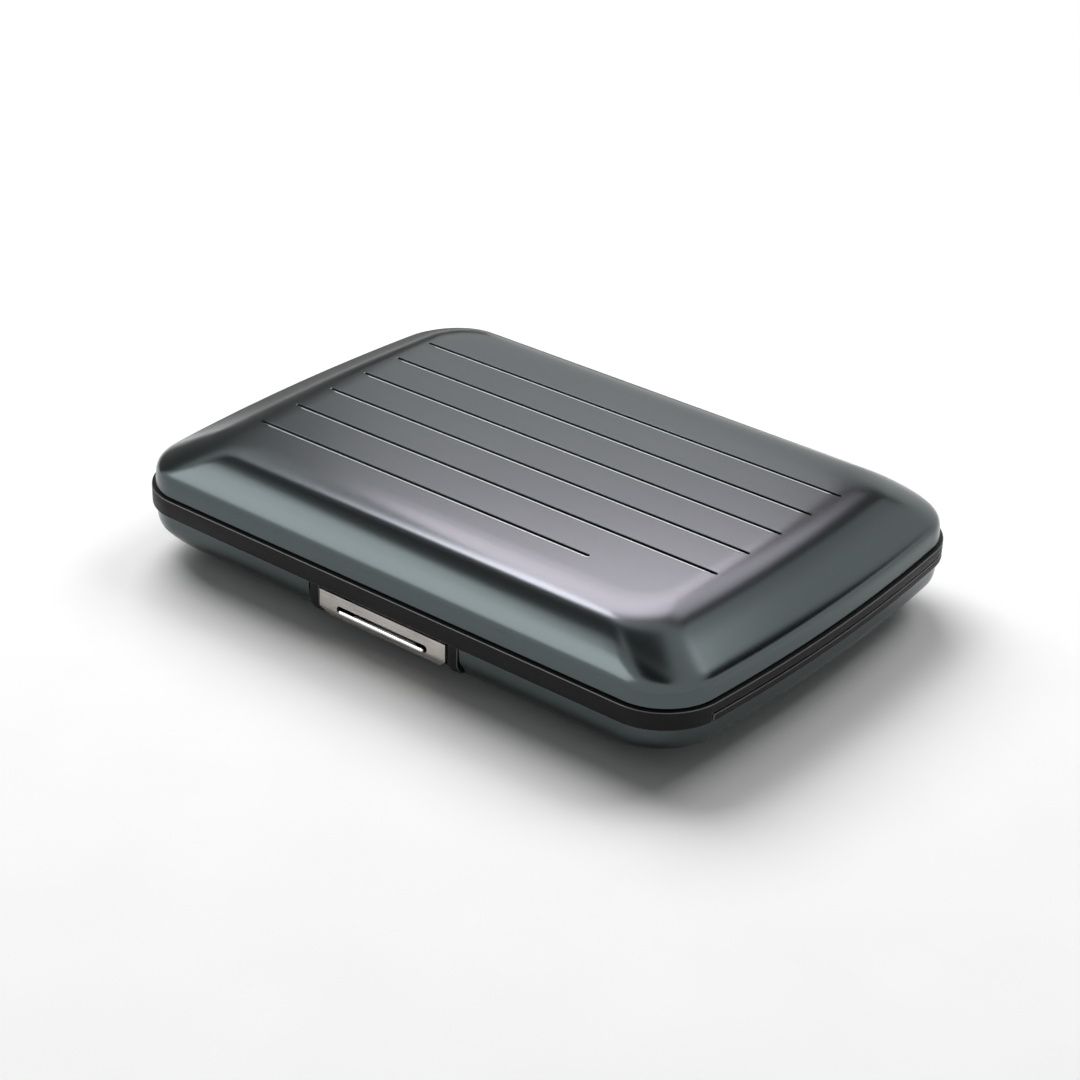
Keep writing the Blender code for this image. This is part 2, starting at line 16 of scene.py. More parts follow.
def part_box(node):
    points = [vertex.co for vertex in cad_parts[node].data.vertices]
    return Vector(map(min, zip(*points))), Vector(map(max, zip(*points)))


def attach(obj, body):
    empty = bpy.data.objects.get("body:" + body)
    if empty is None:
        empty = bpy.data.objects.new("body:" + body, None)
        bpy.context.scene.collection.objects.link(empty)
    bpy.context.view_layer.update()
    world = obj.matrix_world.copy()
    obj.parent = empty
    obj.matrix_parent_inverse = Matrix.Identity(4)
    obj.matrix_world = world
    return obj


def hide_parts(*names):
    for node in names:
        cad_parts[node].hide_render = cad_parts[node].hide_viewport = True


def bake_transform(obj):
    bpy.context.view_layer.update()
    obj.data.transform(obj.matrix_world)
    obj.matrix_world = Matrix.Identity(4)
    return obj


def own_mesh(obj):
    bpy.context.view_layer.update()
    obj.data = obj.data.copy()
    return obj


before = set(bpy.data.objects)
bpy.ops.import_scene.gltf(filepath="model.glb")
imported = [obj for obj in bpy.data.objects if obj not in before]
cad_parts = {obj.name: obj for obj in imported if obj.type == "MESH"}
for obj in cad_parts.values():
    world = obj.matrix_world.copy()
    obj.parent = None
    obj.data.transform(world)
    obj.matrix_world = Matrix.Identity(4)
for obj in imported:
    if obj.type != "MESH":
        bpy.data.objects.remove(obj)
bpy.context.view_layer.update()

# %% [markdown]
# ## Sizes that everything shares
# The lid's shell says itself how large it is, so its length, width and crown are read from its box.
# Only what a box can't tell, such as a corner's radius, is written here.

# %% Read the shared sizes
lid_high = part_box("upper_shell")[1]
half_length = lid_high.x
half_width = lid_high.y
crown = lid_high.z
lid_depth = 0.0080
lid_rim = crown - lid_depth
tray_rim = 0.0085
wall = 0.0008
rim_radius = 0.0085
end_bow = 0.0022
bow_rate = end_bow / (half_length * half_width ** 2)
weld = 0.000001
crease = math.radians(40)
print("shell", half_length * 2, half_width * 2, "rims", tray_rim, lid_rim, "crown", crown)

# %% [markdown]
# ## The camera
# The photograph was taken from the front right, some forty centimetres away, with a long lens.
# The angles and the aim come from fitting the shells' edges. The roll is small but real: the
# lens was tipped by two degrees.

# %% Place the camera
view_azimuth = math.radians(38.06)
view_height = math.radians(28.71)
view_roll = math.radians(1.91)
view_distance = 0.3932
view_lens = 85.2
aim = Vector((0, 0, 0.010))
aim_right = -0.00035
aim_up = -0.00385
back = Vector((math.sin(view_azimuth) * math.cos(view_height),
               -math.cos(view_azimuth) * math.cos(view_height), math.sin(view_height)))
right = Vector((math.cos(view_azimuth), math.sin(view_azimuth), 0))
up = back.cross(right)
rolled_right = right * math.cos(view_roll) + up * math.sin(view_roll)
rolled_up = up * math.cos(view_roll) - right * math.sin(view_roll)
bpy.ops.object.camera_add()
camera = bpy.context.object
turn = Matrix((rolled_right, rolled_up, back)).transposed().to_4x4()
place = aim + right * aim_right + up * aim_up + back * view_distance
camera.matrix_world = Matrix.Translation(place) @ turn
camera.data.sensor_width = 36
camera.data.lens = view_lens
camera.data.clip_start = 0.01
bpy.context.scene.camera = camera
print("camera at", [round(v, 4) for v in place])
bpy.context.scene.view_settings.view_transform = "Standard"

# %% [markdown]
# ## Helpers for modelling by hand
# Each helper does what a modeller does with a few keys. An operator acts on all that is selected,
# so everything starts with a clean selection. With no mouse, faces and edges are picked by a test
# of their place or direction.

# %% Select and pick
def deselect():
    """Leaves edit mode and selects nothing."""
    if bpy.context.object and bpy.context.object.mode != "OBJECT":
        bpy.ops.object.mode_set(mode="OBJECT")
    bpy.ops.object.select_all(action="DESELECT")


def take(piece, mode="OBJECT"):
    """Makes a piece the only selected and the active one."""
    deselect()
    piece.select_set(True)
    bpy.context.view_layer.objects.active = piece
    bpy.ops.object.mode_set(mode=mode)
    return piece


def pick(kind, wanted):
    """In edit mode, selects the vertices, edges or faces that pass a test."""
    bpy.ops.mesh.select_all(action="DESELECT")
    bpy.ops.mesh.select_mode(type=kind)
    mesh = bpy.context.object.data
    work = bmesh.from_edit_mesh(mesh)
    parts = {"VERT": work.verts, "EDGE": work.edges, "FACE": work.faces}[kind]
    count = 0
    for part in parts:
        if wanted(part):
            part.select_set(True)
            count += 1
    work.select_flush_mode()
    bmesh.update_edit_mesh(mesh)
    return count


def added(name):
    """Names the primitive that was just added and goes into edit mode with all selected."""
    piece = bpy.context.object
    piece.name = name
    piece.data.name = name
    bpy.ops.object.mode_set(mode="EDIT")
    bpy.ops.mesh.select_all(action="SELECT")
    return piece

# %% [markdown]
# The next ones extrude, turn faces outwards, and apply modifiers one at a time. A finished piece
# is settled: its place goes into its mesh, and its soft edges are shaded smooth.

# %% Shape and apply
def pull(x=0, y=0, z=0):
    """In edit mode, extrudes what is selected and moves it."""
    bpy.ops.mesh.extrude_region_move(TRANSFORM_OT_translate={"value": (x, y, z)})


def turn_out():
    """In edit mode, selects everything and turns its faces outwards."""
    bpy.ops.mesh.select_all(action="SELECT")
    bpy.ops.mesh.normals_make_consistent(inside=False)


def modify(piece, kind, **settings):
    """Adds one modifier with its settings and applies it."""
    take(piece)
    step = piece.modifiers.new(kind.lower(), kind)
    for key, value in settings.items():
        setattr(step, key, value)
    bpy.ops.object.modifier_apply(modifier=step.name)
    return piece


def settle(piece, smooth_angle=math.radians(32)):
    """Applies a finished piece's place to its mesh and shades it."""
    take(piece)
    bpy.ops.object.transform_apply(location=True, rotation=True, scale=True)
    bpy.ops.object.shade_smooth_by_angle(angle=smooth_angle)
    return piece

# %% [markdown]
# ## The outline that all share
# Shells, frames, leaves and pads all start as a level rounded rectangle. The short ends of the
# shells are not quite straight: they bow out by two millimetres, so the whole outline is drawn in
# towards the corners by a rule that grows with the square of the distance from the middle.

# %% Outlines
def rounded_plane(name, length, width, radius, z, corner_steps=16, end_cuts=15, side_cuts=31):
    """A level rounded rectangle: a plane with its corners bevelled round and its sides cut up."""
    deselect()
    bpy.ops.mesh.primitive_plane_add(size=1, location=(0, 0, 0))
    piece = added(name)
    bpy.ops.transform.resize(value=(length, width, 1))
    bpy.ops.transform.translate(value=(0, 0, z))
    bpy.ops.mesh.bevel(affect="VERTICES", offset=radius, segments=corner_steps)
    for axis, half, cuts in ((0, length / 2, end_cuts), (1, width / 2, side_cuts)):
        if cuts:
            pick("EDGE", lambda edge: edge.calc_length() > half / corner_steps and all(
                abs(abs(corner.co[axis]) - half) < weld for corner in edge.verts))
            bpy.ops.mesh.subdivide(number_cuts=cuts)
    bpy.ops.mesh.select_mode(type="FACE")
    bpy.ops.mesh.select_all(action="SELECT")
    return piece


def bow_ends(piece):
    """Draws the short ends in towards their corners, as the pressed outline does."""
    deselect()
    for corner in piece.data.vertices:
        corner.co.x *= 1 - bow_rate * corner.co.y ** 2

# %% [markdown]
# ## The two shells
# Each shell is one sheet of aluminium, 0.8 mm thick, drawn into a shallow dish. A real one starts
# as a flat blank and is pushed down in a press; here the rim outline is extruded upwards and drawn
# in, ring by ring, along one smooth profile. The short ends slope further than the long sides, so
# each has a section of its own, written in shares of its reach.

# %% The shells' sections
side_reach = 0.0124
end_reach = 0.0146
# Share of the reach from the rim to the flat crown, and share of the shell's depth
side_shares = (
    (0.0, 0.0), (0.004, 0.11), (0.011, 0.225), (0.032, 0.344), (0.077, 0.456), (0.141, 0.565),
    (0.222, 0.670), (0.306, 0.765), (0.395, 0.8475), (0.468, 0.9025), (0.540, 0.941),
    (0.661, 0.975), (0.831, 0.994), (1.0, 1.0),
)
end_shares = (
    (0.0, 0.0), (0.007, 0.15), (0.015, 0.30), (0.032, 0.375), (0.075, 0.44), (0.140, 0.505),
    (0.350, 0.690), (0.548, 0.844), (0.623, 0.894), (0.699, 0.934), (0.767, 0.9625),
    (0.836, 0.9825), (0.918, 0.995), (1.0, 1.0),
)
profile_steps = 4


def smooth_run(points, steps):
    """A smooth curve through points, read off at even steps between them."""
    knots = [Vector((*point, 0)) for point in points]
    ends = [knots[0] * 2 - knots[1], *knots, knots[-1] * 2 - knots[-2]]
    run = []
    for before, near, far, after in zip(ends, ends[1:], ends[2:], ends[3:]):
        span = (far - near).length
        lean_in = (far - before).normalized() * span / 3
        lean_out = (after - near).normalized() * span / 3
        run += interpolate_bezier(near, near + lean_in, far - lean_out, far, steps + 1)[:-1]
    return [(point.x, point.y) for point in [*run, knots[-1]]]


def section(shares, reach, depth):
    """One side's section, as how far in and how high, on a smooth curve."""
    return smooth_run([(in_share * reach, high_share * depth) for in_share, high_share in shares],
                      profile_steps)


def inset_at(run, height):
    """How far in a section is at a height."""
    for (near, low), (far, high) in zip(run, run[1:]):
        if abs(height) <= abs(high) + weld:
            return near + (far - near) * (height - low) / (high - low)
    return run[-1][0]

# %% [markdown]
# With the section known, the sheet is drawn ring by ring, gets its thickness, and its cut rim is
# made level and a little round.

# %% Press the shells
crown_border = 0.0008
rim_edge = 0.00012
rim_drop = 0.00014


def press_shell(name, rim, top):
    """A shell from its rim to its flat crown, which may lie above the rim or below it."""
    depth = top - rim
    piece = rounded_plane(name, half_length * 2, half_width * 2, rim_radius, rim)
    drawn = Vector((1, 1, rim))
    end_run = section(end_shares, end_reach, depth)
    for side_in, rise in section(side_shares, side_reach, depth)[1:]:
        end_in = inset_at(end_run, rise)
        wanted = Vector((1 - end_in / half_length, 1 - side_in / half_width, rim + rise))
        pull(z=wanted.z - drawn.z)
        bpy.ops.transform.resize(value=(wanted.x / drawn.x, wanted.y / drawn.y, 1),
                                 center_override=(0, 0, 0))
        drawn = wanted
    bpy.ops.mesh.inset(thickness=crown_border)
    pick("FACE", lambda face: all(abs(corner.co.z - rim) < weld for corner in face.verts))
    bpy.ops.mesh.delete(type="FACE")
    turn_out()
    bow_ends(piece)
    modify(piece, "SOLIDIFY", thickness=wall, offset=-1, use_even_offset=True)
    take(piece, "EDIT")
    pick("VERT", lambda corner: abs(corner.co.z - rim) < wall / 8)
    bpy.ops.transform.resize(value=(1, 1, 0), center_override=(0, 0, rim))
    pick("EDGE", lambda edge: all(abs(corner.co.z - rim) < weld for corner in edge.verts)
         and edge.calc_face_angle() > math.radians(60))
    bpy.ops.mesh.bevel(offset=rim_edge, segments=3)
    deselect()
    print(name, "has", len(piece.data.polygons), "faces")
    return piece


lid_shell = press_shell("lid_shell", lid_rim - rim_drop, crown)
tray_shell = press_shell("tray_shell", tray_rim + rim_drop, 0)

# %% [markdown]
# ## The grooves
# Six straight grooves are pressed across each crown. The one at the front of the lid stops short
# and leaves a bare field. In the photograph each groove is a black line with a bright line in
# front of it: its back is steep and dark, its front lip is broad and catches the light. So the bar
# that cuts it starts as a round button, is drawn in along a quarter round that is broad in front
# and narrow behind, and goes down to a rounded foot. Then its halves are pulled apart in length.

# %% Shape the bar that cuts a groove
groove_count = 6
groove_pitch = 0.0079
groove_half = 0.04065
bare_field = 0.0167
groove_width = 0.00052
front_lip = 0.00046
back_lip = 0.00007
lip_drop = 0.00014
groove_depth = 0.00050
groove_foot = 0.00012
bar_height = 0.0004
bar_sides = 24
round_steps = 5
glint_lip_share = 0.9


def quarter_round():
    """Shares of the way in and of the way down, of a round that starts level and ends upright."""
    turns = [math.pi / 2 * step / round_steps for step in range(round_steps + 1)]
    return [(math.sin(far) - math.sin(near), math.cos(near) - math.cos(far))
            for near, far in zip(turns, turns[1:])]


def groove_bar(low_x, high_x, y, top, up):
    """The bar that sinks one groove; up is 1 on the lid and -1 under the tray."""
    lips = front_lip + back_lip
    lean = (back_lip - front_lip) / 2
    radius = (groove_width + lips) / 2
    deselect()
    bpy.ops.mesh.primitive_circle_add(vertices=bar_sides, radius=radius, fill_type="NGON")
    bar = added("groove_bar")
    bpy.ops.transform.rotate(value=math.pi / bar_sides, orient_axis="Z", center_override=(0, 0, 0))
    bpy.ops.transform.translate(value=(0, lean, top + up * bar_height))
    lip = [(lips / 2 * inset, lip_drop * drop, -lean * inset) for inset, drop in quarter_round()]
    foot = [(groove_foot * inset, groove_foot * drop) for inset, drop in quarter_round()]
    straight = groove_depth - lip_drop - groove_foot
    steps = [(0, bar_height - lip_drop / 50, 0), *lip, (0, straight, 0)]
    steps += [(drop, inset, 0) for inset, drop in foot]
    center = lean
    for inset, drop, shift in steps:
        pull(y=shift, z=-up * drop)
        center += shift
        narrower = (radius - inset) / radius
        bpy.ops.transform.resize(value=(narrower, narrower, 1), center_override=(0, center, 0))
        radius -= inset
    for side in (-1, 1):
        pick("VERT", lambda corner: corner.co.x * side > 0)
        bpy.ops.transform.translate(value=(side * (high_x - low_x - groove_width) / 2, 0, 0))
    turn_out()
    bpy.ops.transform.translate(value=((low_x + high_x) / 2, y, 0))
    deselect()
    return bar

# %% [markdown]
# All bars are joined and cut in one go. The faces that they cut carry a mark, a second material slot,
# so that the front lips can get a bright finish later, a painted highlight for their glint.

# %% Sink the row of grooves
def carve(piece, tool, operation="DIFFERENCE", **settings):
    """Cuts a piece with a tool, or joins the two, and clears the tool away."""
    modify(piece, "BOOLEAN", object=tool, operation=operation, solver="EXACT", **settings)
    bpy.data.objects.remove(tool)


def add_marks(piece, *names):
    """Gives a piece empty materials, which mark faces until they get their finish."""
    for name in names:
        piece.data.materials.append(bpy.data.materials.new(name))


def join_marked(piece, tool, operation):
    """Cuts or joins like carve, and the tool's faces keep a second mark for their own finish."""
    add_marks(piece, "own_mark")
    add_marks(tool, "tool_mark")
    carve(piece, tool, operation, material_mode="TRANSFER")


def sink_grooves(piece, top, up, field):
    """Cuts the row of grooves; the front one stops short of the bare field."""
    bars = []
    for n in range(groove_count):
        y = (n - (groove_count - 1) / 2) * groove_pitch
        short = field if n == 0 else 0
        bars.append(groove_bar(-groove_half, groove_half - short, y, top, up))
    deselect()
    for bar in bars:
        bar.select_set(True)
    bpy.context.view_layer.objects.active = bars[0]
    bpy.ops.object.join()
    join_marked(piece, bpy.context.object, "DIFFERENCE")
    settle(piece, crease)
    take(piece, "EDIT")
    count = pick("EDGE", lambda edge: len({face.material_index for face in edge.link_faces}) > 1)
    bpy.ops.mesh.mark_sharp()
    deselect()
    # Only the lip faces near the crown that don't face towards -Y keep the mark and the bright finish:
    # a painted highlight on the front lips, where the glint falls.
    for face in piece.data.polygons:
        behind = face.normal.y < -abs(face.normal.x)
        if behind or abs(face.center.z - top) > lip_drop * glint_lip_share:
            face.material_index = 0
    print(piece.name, "has", len(piece.data.polygons), "faces and", count, "lip edges")

# %% [markdown]
# ## The two black frames
# Each frame is one plastic moulding that runs right round the wallet. Its flange shows as a black
# band, its wall is glued inside the shell. It starts as one flat outline. The outside of its
# section is drawn from that face, then the inside, and both meet at the inner lip, where the last
# two faces are deleted and the ring closes.

# %% Model the frame rings
gap = 0.0003
overrun = 0.002
frame_proud = 0.0006
flange_inset = 0.0011
frame_back = 0.0023
frame_reach = 0.0022
band_foot = tray_rim + gap
band_top = lid_rim - gap
seam_share = 0.457
seam = band_foot + (band_top - band_foot) * seam_share
lid_seam = seam + gap / 2
tray_seam = seam - gap / 2
apron_wall = 0.0010
apron_return = 0.0078
band_round = 0.00011
front = -half_width


def draw_run(run):
    """Draws the selected face inwards and up or down through a run of insets and heights."""
    for (inset, z), (next_inset, next_z) in zip(run, run[1:]):
        if next_inset > inset:
            bpy.ops.mesh.inset(thickness=next_inset - inset, depth=0, use_even_offset=True)
        if next_z != z:
            pull(z=next_z - z)


def pick_level(level):
    """Selects the faces with many corners that lie at a level."""
    pick("FACE", lambda face: len(face.verts) > 8
         and abs(face.calc_center_median().z - level) < weld)


def ring_from(name, outset, outside, inside):
    """A closed ring: both runs start at the outer outline and end at the same inner lip."""
    start = outside[0][1]
    piece = rounded_plane(name, (half_length + outset) * 2, (half_width + outset) * 2,
                          rim_radius + outset, start)
    bpy.ops.mesh.dissolve_faces()
    draw_run([(inset + outset, z) for inset, z in outside])
    pick_level(start)
    draw_run([(inset + outset, z) for inset, z in inside])
    pick_level(outside[-1][1])
    bpy.ops.mesh.delete(type="FACE")
    bpy.ops.mesh.select_all(action="SELECT")
    bpy.ops.mesh.remove_doubles(threshold=weld)
    turn_out()
    bow_ends(piece)
    return piece


lid_wall_top = lid_rim + frame_reach
tray_wall_foot = tray_rim - frame_reach
lid_band = ring_from(
    "lid_band", frame_proud,
    ((-frame_proud, band_foot), (-frame_proud, band_top), (flange_inset, band_top),
     (flange_inset, lid_wall_top), (frame_back, lid_wall_top)),
    ((-frame_proud, band_foot), (apron_wall - frame_proud, band_foot),
     (apron_wall - frame_proud, lid_seam), (frame_back, lid_seam), (frame_back, lid_wall_top)))
tray_band = ring_from(
    "tray_band", frame_proud,
    ((-frame_proud, tray_seam), (-frame_proud, band_foot), (flange_inset, band_foot),
     (flange_inset, tray_wall_foot), (frame_back, tray_wall_foot)),
    ((-frame_proud, tray_seam), (frame_back, tray_seam), (frame_back, tray_wall_foot)))
print("band", band_foot, band_top, "seam", seam)

# %% [markdown]
# ## Blocks, rods and drawn outlines
# The frames' small works are plain solids added to the ring or cut from it: a block between two
# corners, a rod along X, and an outline drawn point by point, filled and pulled along X.

# %% Small solids
def block(name, low, high):
    """A block between two corners."""
    deselect()
    low, high = Vector(low), Vector(high)
    bpy.ops.mesh.primitive_cube_add(size=1, location=(0, 0, 0))
    piece = added(name)
    bpy.ops.transform.resize(value=high - low)
    bpy.ops.transform.translate(value=(low + high) / 2)
    deselect()
    return piece


def rod(name, radius, low_x, high_x, y, z, sides=48):
    """A round bar along X."""
    deselect()
    bpy.ops.mesh.primitive_cylinder_add(vertices=sides, radius=radius, depth=high_x - low_x,
                                        location=(0, 0, 0), rotation=(0, math.pi / 2, 0))
    piece = bpy.context.object
    piece.name = name
    bpy.ops.object.transform_apply(location=True, rotation=True, scale=True)
    piece = added(name)
    bpy.ops.transform.translate(value=((low_x + high_x) / 2, y, z))
    deselect()
    return piece


def traced(name, points, filled=True):
    """An outline drawn point by point, from one vertex; filled, it closes into a face."""
    deselect()
    bpy.ops.mesh.primitive_plane_add(size=wall, location=(0, 0, 0))
    piece = added(name)
    bpy.ops.mesh.merge(type="CENTER")
    bpy.ops.mesh.select_mode(type="VERT")
    bpy.ops.mesh.select_all(action="SELECT")
    bpy.ops.transform.translate(value=points[0])
    for near, far in zip(points, points[1:]):
        step = Vector(far) - Vector(near)
        bpy.ops.mesh.extrude_vertices_move(TRANSFORM_OT_translate={"value": step})
    bpy.ops.mesh.select_all(action="SELECT")
    if filled:
        bpy.ops.mesh.edge_face_add()
    return piece


def along_x(name, outline, low_x, high_x):
    """A solid with one section in Y and Z, pulled along X."""
    piece = traced(name, [(low_x, y, z) for y, z in outline])
    pull(x=high_x - low_x)
    turn_out()
    deselect()
    return piece

# %% [markdown]
# ## The latch's sizes
# The latch is a rocker in a pocket of the tray's frame. The plate's box gives its length and
# height, and every other part of the latch is stacked behind its face with small gaps.

# %% Latch sizes
plate_low, plate_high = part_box("latch_plate")
plate_half = plate_high.x
plate_top = plate_high.z
plate_foot = plate_low.z
plate_sheet = 0.0005
plate_face = front - 0.0002
plate_back = plate_face + plate_sheet
bend_level = plate_foot + 0.0014
bend_depth = 0.0008
lever_gap = 0.00025
catch_sheet = 0.00035
catch_jog = 0.0008
catch_front = plate_back + lever_gap
catch_back = catch_front + catch_sheet
lever_front = catch_back + lever_gap
lever_back = lever_front + 0.0018
pocket_half = plate_half + gap
pocket_back = lever_back + 0.00065
pocket_top = tray_rim + 2 * gap
housing_half = pocket_half + 0.0018
housing_foot = plate_foot - 0.0007
housing_wall = 0.0010
housing_back = pocket_back + housing_wall
slot_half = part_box("latch_catch")[1].x + 0.0008
keeper_half = slot_half + 0.0017
keeper_face = catch_back + catch_jog + lever_gap
keeper_top = lid_seam + 0.0006
keeper_back = front + frame_back + 0.0014
nose = 0.0007
nose_foot = keeper_top + lever_gap
slot_top = nose_foot + nose + 0.0008
pivot_y = front + 0.0022
pivot_z = tray_rim - 0.0009
pivot_bore = 0.00057

# %% [markdown]
# ## Finish the shells
# The tray's front gets a notch that the latch's housing fills, and both crowns get their grooves.
# A flat crown must shade flat right up to its grooves. So the cut lends the groove's faces a mark of
# their own, and the edges between marked and unmarked faces are made sharp. The mark stays only on the
# front lips, which get a bright finish of their own: a painted highlight for the glint that falls on
# them.

# %% Notch and groove the shells
notch_half = housing_half + gap
carve(tray_shell, block("latch_notch", (-notch_half, front - overrun, housing_foot - gap),
                        (notch_half, housing_back, lid_rim)))
sink_grooves(lid_shell, crown, 1, bare_field)
sink_grooves(tray_shell, 0, -1, 0)

# %% [markdown]
# ## Works in the lid's frame
# The apron covers the seam along the front only, so it is cut away round the sides and the back.
# Behind it a keeper block takes the catch. At the back stand the hinge knuckles, and a wedge is
# cleared so that the open lid doesn't meet the tray's frame.

# %% Cut and grow the lid's frame
hinge_y = half_width - 0.0010
hinge_z = (tray_rim + lid_rim) / 2
hinge_x = 0.0280
knuckle_radius = 0.0013
knuckle_bore = 0.00062
base_knuckle = 0.0060
lid_knuckle = 0.0040
knuckle_step = (base_knuckle + lid_knuckle) / 2 + gap
lid_opening = math.radians(45)
relief_slack = math.radians(2)
base_places = (-hinge_x, hinge_x)
lid_places = [x + side * knuckle_step for x in base_places for side in (-1, 1)]


def clear_back(piece):
    """Cuts the wedge behind the hinge line that the open lid needs."""
    reach = half_width - hinge_y + frame_proud + overrun
    rise = reach * math.tan(lid_opening / 2 + relief_slack)
    carve(piece, along_x("back_wedge", ((hinge_y, hinge_z), (hinge_y + reach, hinge_z - rise),
                                        (hinge_y + reach, hinge_z + rise)),
                         -half_length, half_length))


def add_knuckles(piece, own, other, own_length, other_length):
    """Clears a frame round the other frame's knuckles, then gives it its own, with bores."""
    for x in other:
        half = other_length / 2 + gap
        carve(piece, rod("clearing", knuckle_radius + gap, x - half, x + half, hinge_y, hinge_z))
    for x in own:
        half = own_length / 2
        carve(piece, rod("knuckle", knuckle_radius, x - half, x + half, hinge_y, hinge_z), "UNION")
    for x in own:
        half = own_length / 2 + overrun
        carve(piece, rod("bore", knuckle_bore, x - half, x + half, hinge_y, hinge_z))


carve(lid_band, block("apron_end", (-1, -half_width + apron_return, 0), (1, 1, lid_seam)))
carve(lid_band, block("keeper_block",
                      (-keeper_half, front + flange_inset + gap, lid_seam),
                      (keeper_half, keeper_back, lid_wall_top)), "UNION")
carve(lid_band, block("catch_slot", (-slot_half, front + apron_wall - frame_proud, band_foot),
                      (slot_half, keeper_face, slot_top)))
carve(lid_band, block("keeper_window", (-slot_half, keeper_face - gap, keeper_top),
                      (slot_half, keeper_face + nose, slot_top)))
clear_back(lid_band)
add_knuckles(lid_band, lid_places, base_places, lid_knuckle, base_knuckle)
print("lid_band has", len(lid_band.data.polygons), "faces")

# %% [markdown]
# ## Works in the tray's frame
# The lid's apron hangs in front of the tray's frame, so its front is cleared to make room. Then
# comes the latch housing, with the pocket that the rocker swings in, the way for the catch and
# the pivot's bore.

# %% Cut and grow the tray's frame
def apron_clearing():
    """A ring that takes in the apron and its gap, kept along the front only."""
    reach = apron_wall - frame_proud + gap
    low, high = tray_rim - overrun / 2, lid_rim
    tool = ring_from("apron_clearing", overrun, ((-overrun, high), (-overrun, low), (reach, low)),
                     ((-overrun, high), (reach, high), (reach, low)))
    take(tool, "EDIT")
    bpy.ops.mesh.select_all(action="SELECT")
    bpy.ops.mesh.bisect(plane_co=(0, -half_width + apron_return + gap, 0), plane_no=(0, 1, 0),
                        use_fill=True, clear_outer=True)
    turn_out()
    deselect()
    return tool


carve(tray_band, apron_clearing())
housing = ((front, tray_rim), (front, bend_level), (front + bend_depth, plate_foot),
           (front + bend_depth + housing_wall * 2, housing_foot),
           (housing_back, housing_foot), (housing_back, tray_seam),
           (front + flange_inset, tray_seam), (front + flange_inset, tray_rim))
carve(tray_band, along_x("latch_housing", housing, -housing_half, housing_half), "UNION")
carve(tray_band, block("latch_pocket",
                       (-pocket_half, front - overrun, (plate_foot + housing_foot) / 2),
                       (pocket_half, pocket_back, pocket_top)))
carve(tray_band, block("catch_way", (-slot_half, front - overrun, tray_rim),
                       (slot_half, keeper_face + nose, lid_rim)))
carve(tray_band, rod("pivot_bore", pivot_bore, -housing_half - overrun, housing_half + overrun,
                     pivot_y, pivot_z))
clear_back(tray_band)
add_knuckles(tray_band, base_places, lid_places, base_knuckle, lid_knuckle)
print("tray_band has", len(tray_band.data.polygons), "faces")

# %% [markdown]
# A moulding has no truly sharp edge. The frames' edges are rounded by a tenth of a millimetre, and the
# rounded faces are marked for a lighter, glossier finish: a painted highlight, which draws a thin line
# of light along each edge.

# %% Round the frames' edges
def round_edges(piece, width, segments=2, angle=50, **settings):
    """Rounds the edges that turn by more than an angle, in degrees."""
    modify(piece, "BEVEL", width=width, segments=segments, limit_method="ANGLE",
           angle_limit=math.radians(angle), **settings)


def dress(piece, body, node):
    """Lets a piece move with a body and stand for a node, whose own mesh is hidden."""
    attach(piece, body)
    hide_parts(node)


def finish_band(piece):
    """Rounds a frame's edges a little, as a moulding's are, and marks them for a lighter finish, a
    painted highlight.
    """
    take(piece, "EDIT")
    bpy.ops.mesh.select_all(action="SELECT")
    bpy.ops.mesh.remove_doubles(threshold=weld)
    bpy.ops.mesh.dissolve_limited(angle_limit=math.radians(0.5))
    deselect()
    add_marks(piece, "own_mark", "edge_mark")
    round_edges(piece, band_round, 3, material=1, use_clamp_overlap=False)
    settle(piece, crease)


for band, body, node in ((lid_band, "lid", "upper_frame"), (tray_band, "base", "lower_frame")):
    finish_band(band)
    dress(band, body, node)
print("the bands' edges are rounded by", band_round)

# %% [markdown]
# ## The press plate
# The plate is a small sheet of brushed steel. It is drawn as a flat strip on the shell's front,
# its lower edge is pulled inwards to follow the shell, the lower corners are cut off, and a
# round bar stands at the foot of a stadium-shaped slot, where the thumb presses. The bar is polished,
# so its faces are marked for a finish of their own.

# %% The plate's sizes and its slot
plate_corner = 0.0015
bar_half = plate_half - 0.00395
bar_width = 0.00074
bar_proud = 0.0004
bar_z = plate_foot + 0.0018
slot_half_length = bar_half + 0.00055
slot_width = 0.00120
slot_z = bar_z + 0.00032
plate_edge = 0.00013
bend_round = 0.0004
end_share = 0.49


def stadium(name, half, width, y, z, depth):
    """A round-ended block in the plate's plane, from y inwards by depth."""
    tool = rounded_plane(name, half * 2, width, width * end_share, 0, corner_steps=10, end_cuts=0,
                         side_cuts=0)
    pull(z=depth)
    turn_out()
    take(tool)
    bpy.ops.transform.rotate(value=math.pi / 2, orient_axis="X", center_override=(0, 0, 0))
    bpy.ops.object.transform_apply(location=True, rotation=True, scale=True)
    face_y = min(corner[1] for corner in tool.bound_box)
    take(tool, "EDIT")
    bpy.ops.mesh.select_all(action="SELECT")
    bpy.ops.transform.translate(value=(0, y - face_y, z))
    deselect()
    return tool

# %% [markdown]
# The strip is bent before it gets its thickness. Then come the slot, the broken edges and the bar.

# %% Model the press plate
def turn_to_front(piece):
    """Turns the faces of an open sheet all one way, to the front, and leaves edit mode."""
    turn_out()
    deselect()
    if sum(face.normal.y * face.area for face in piece.data.polygons) > 0:
        piece.data.flip_normals()


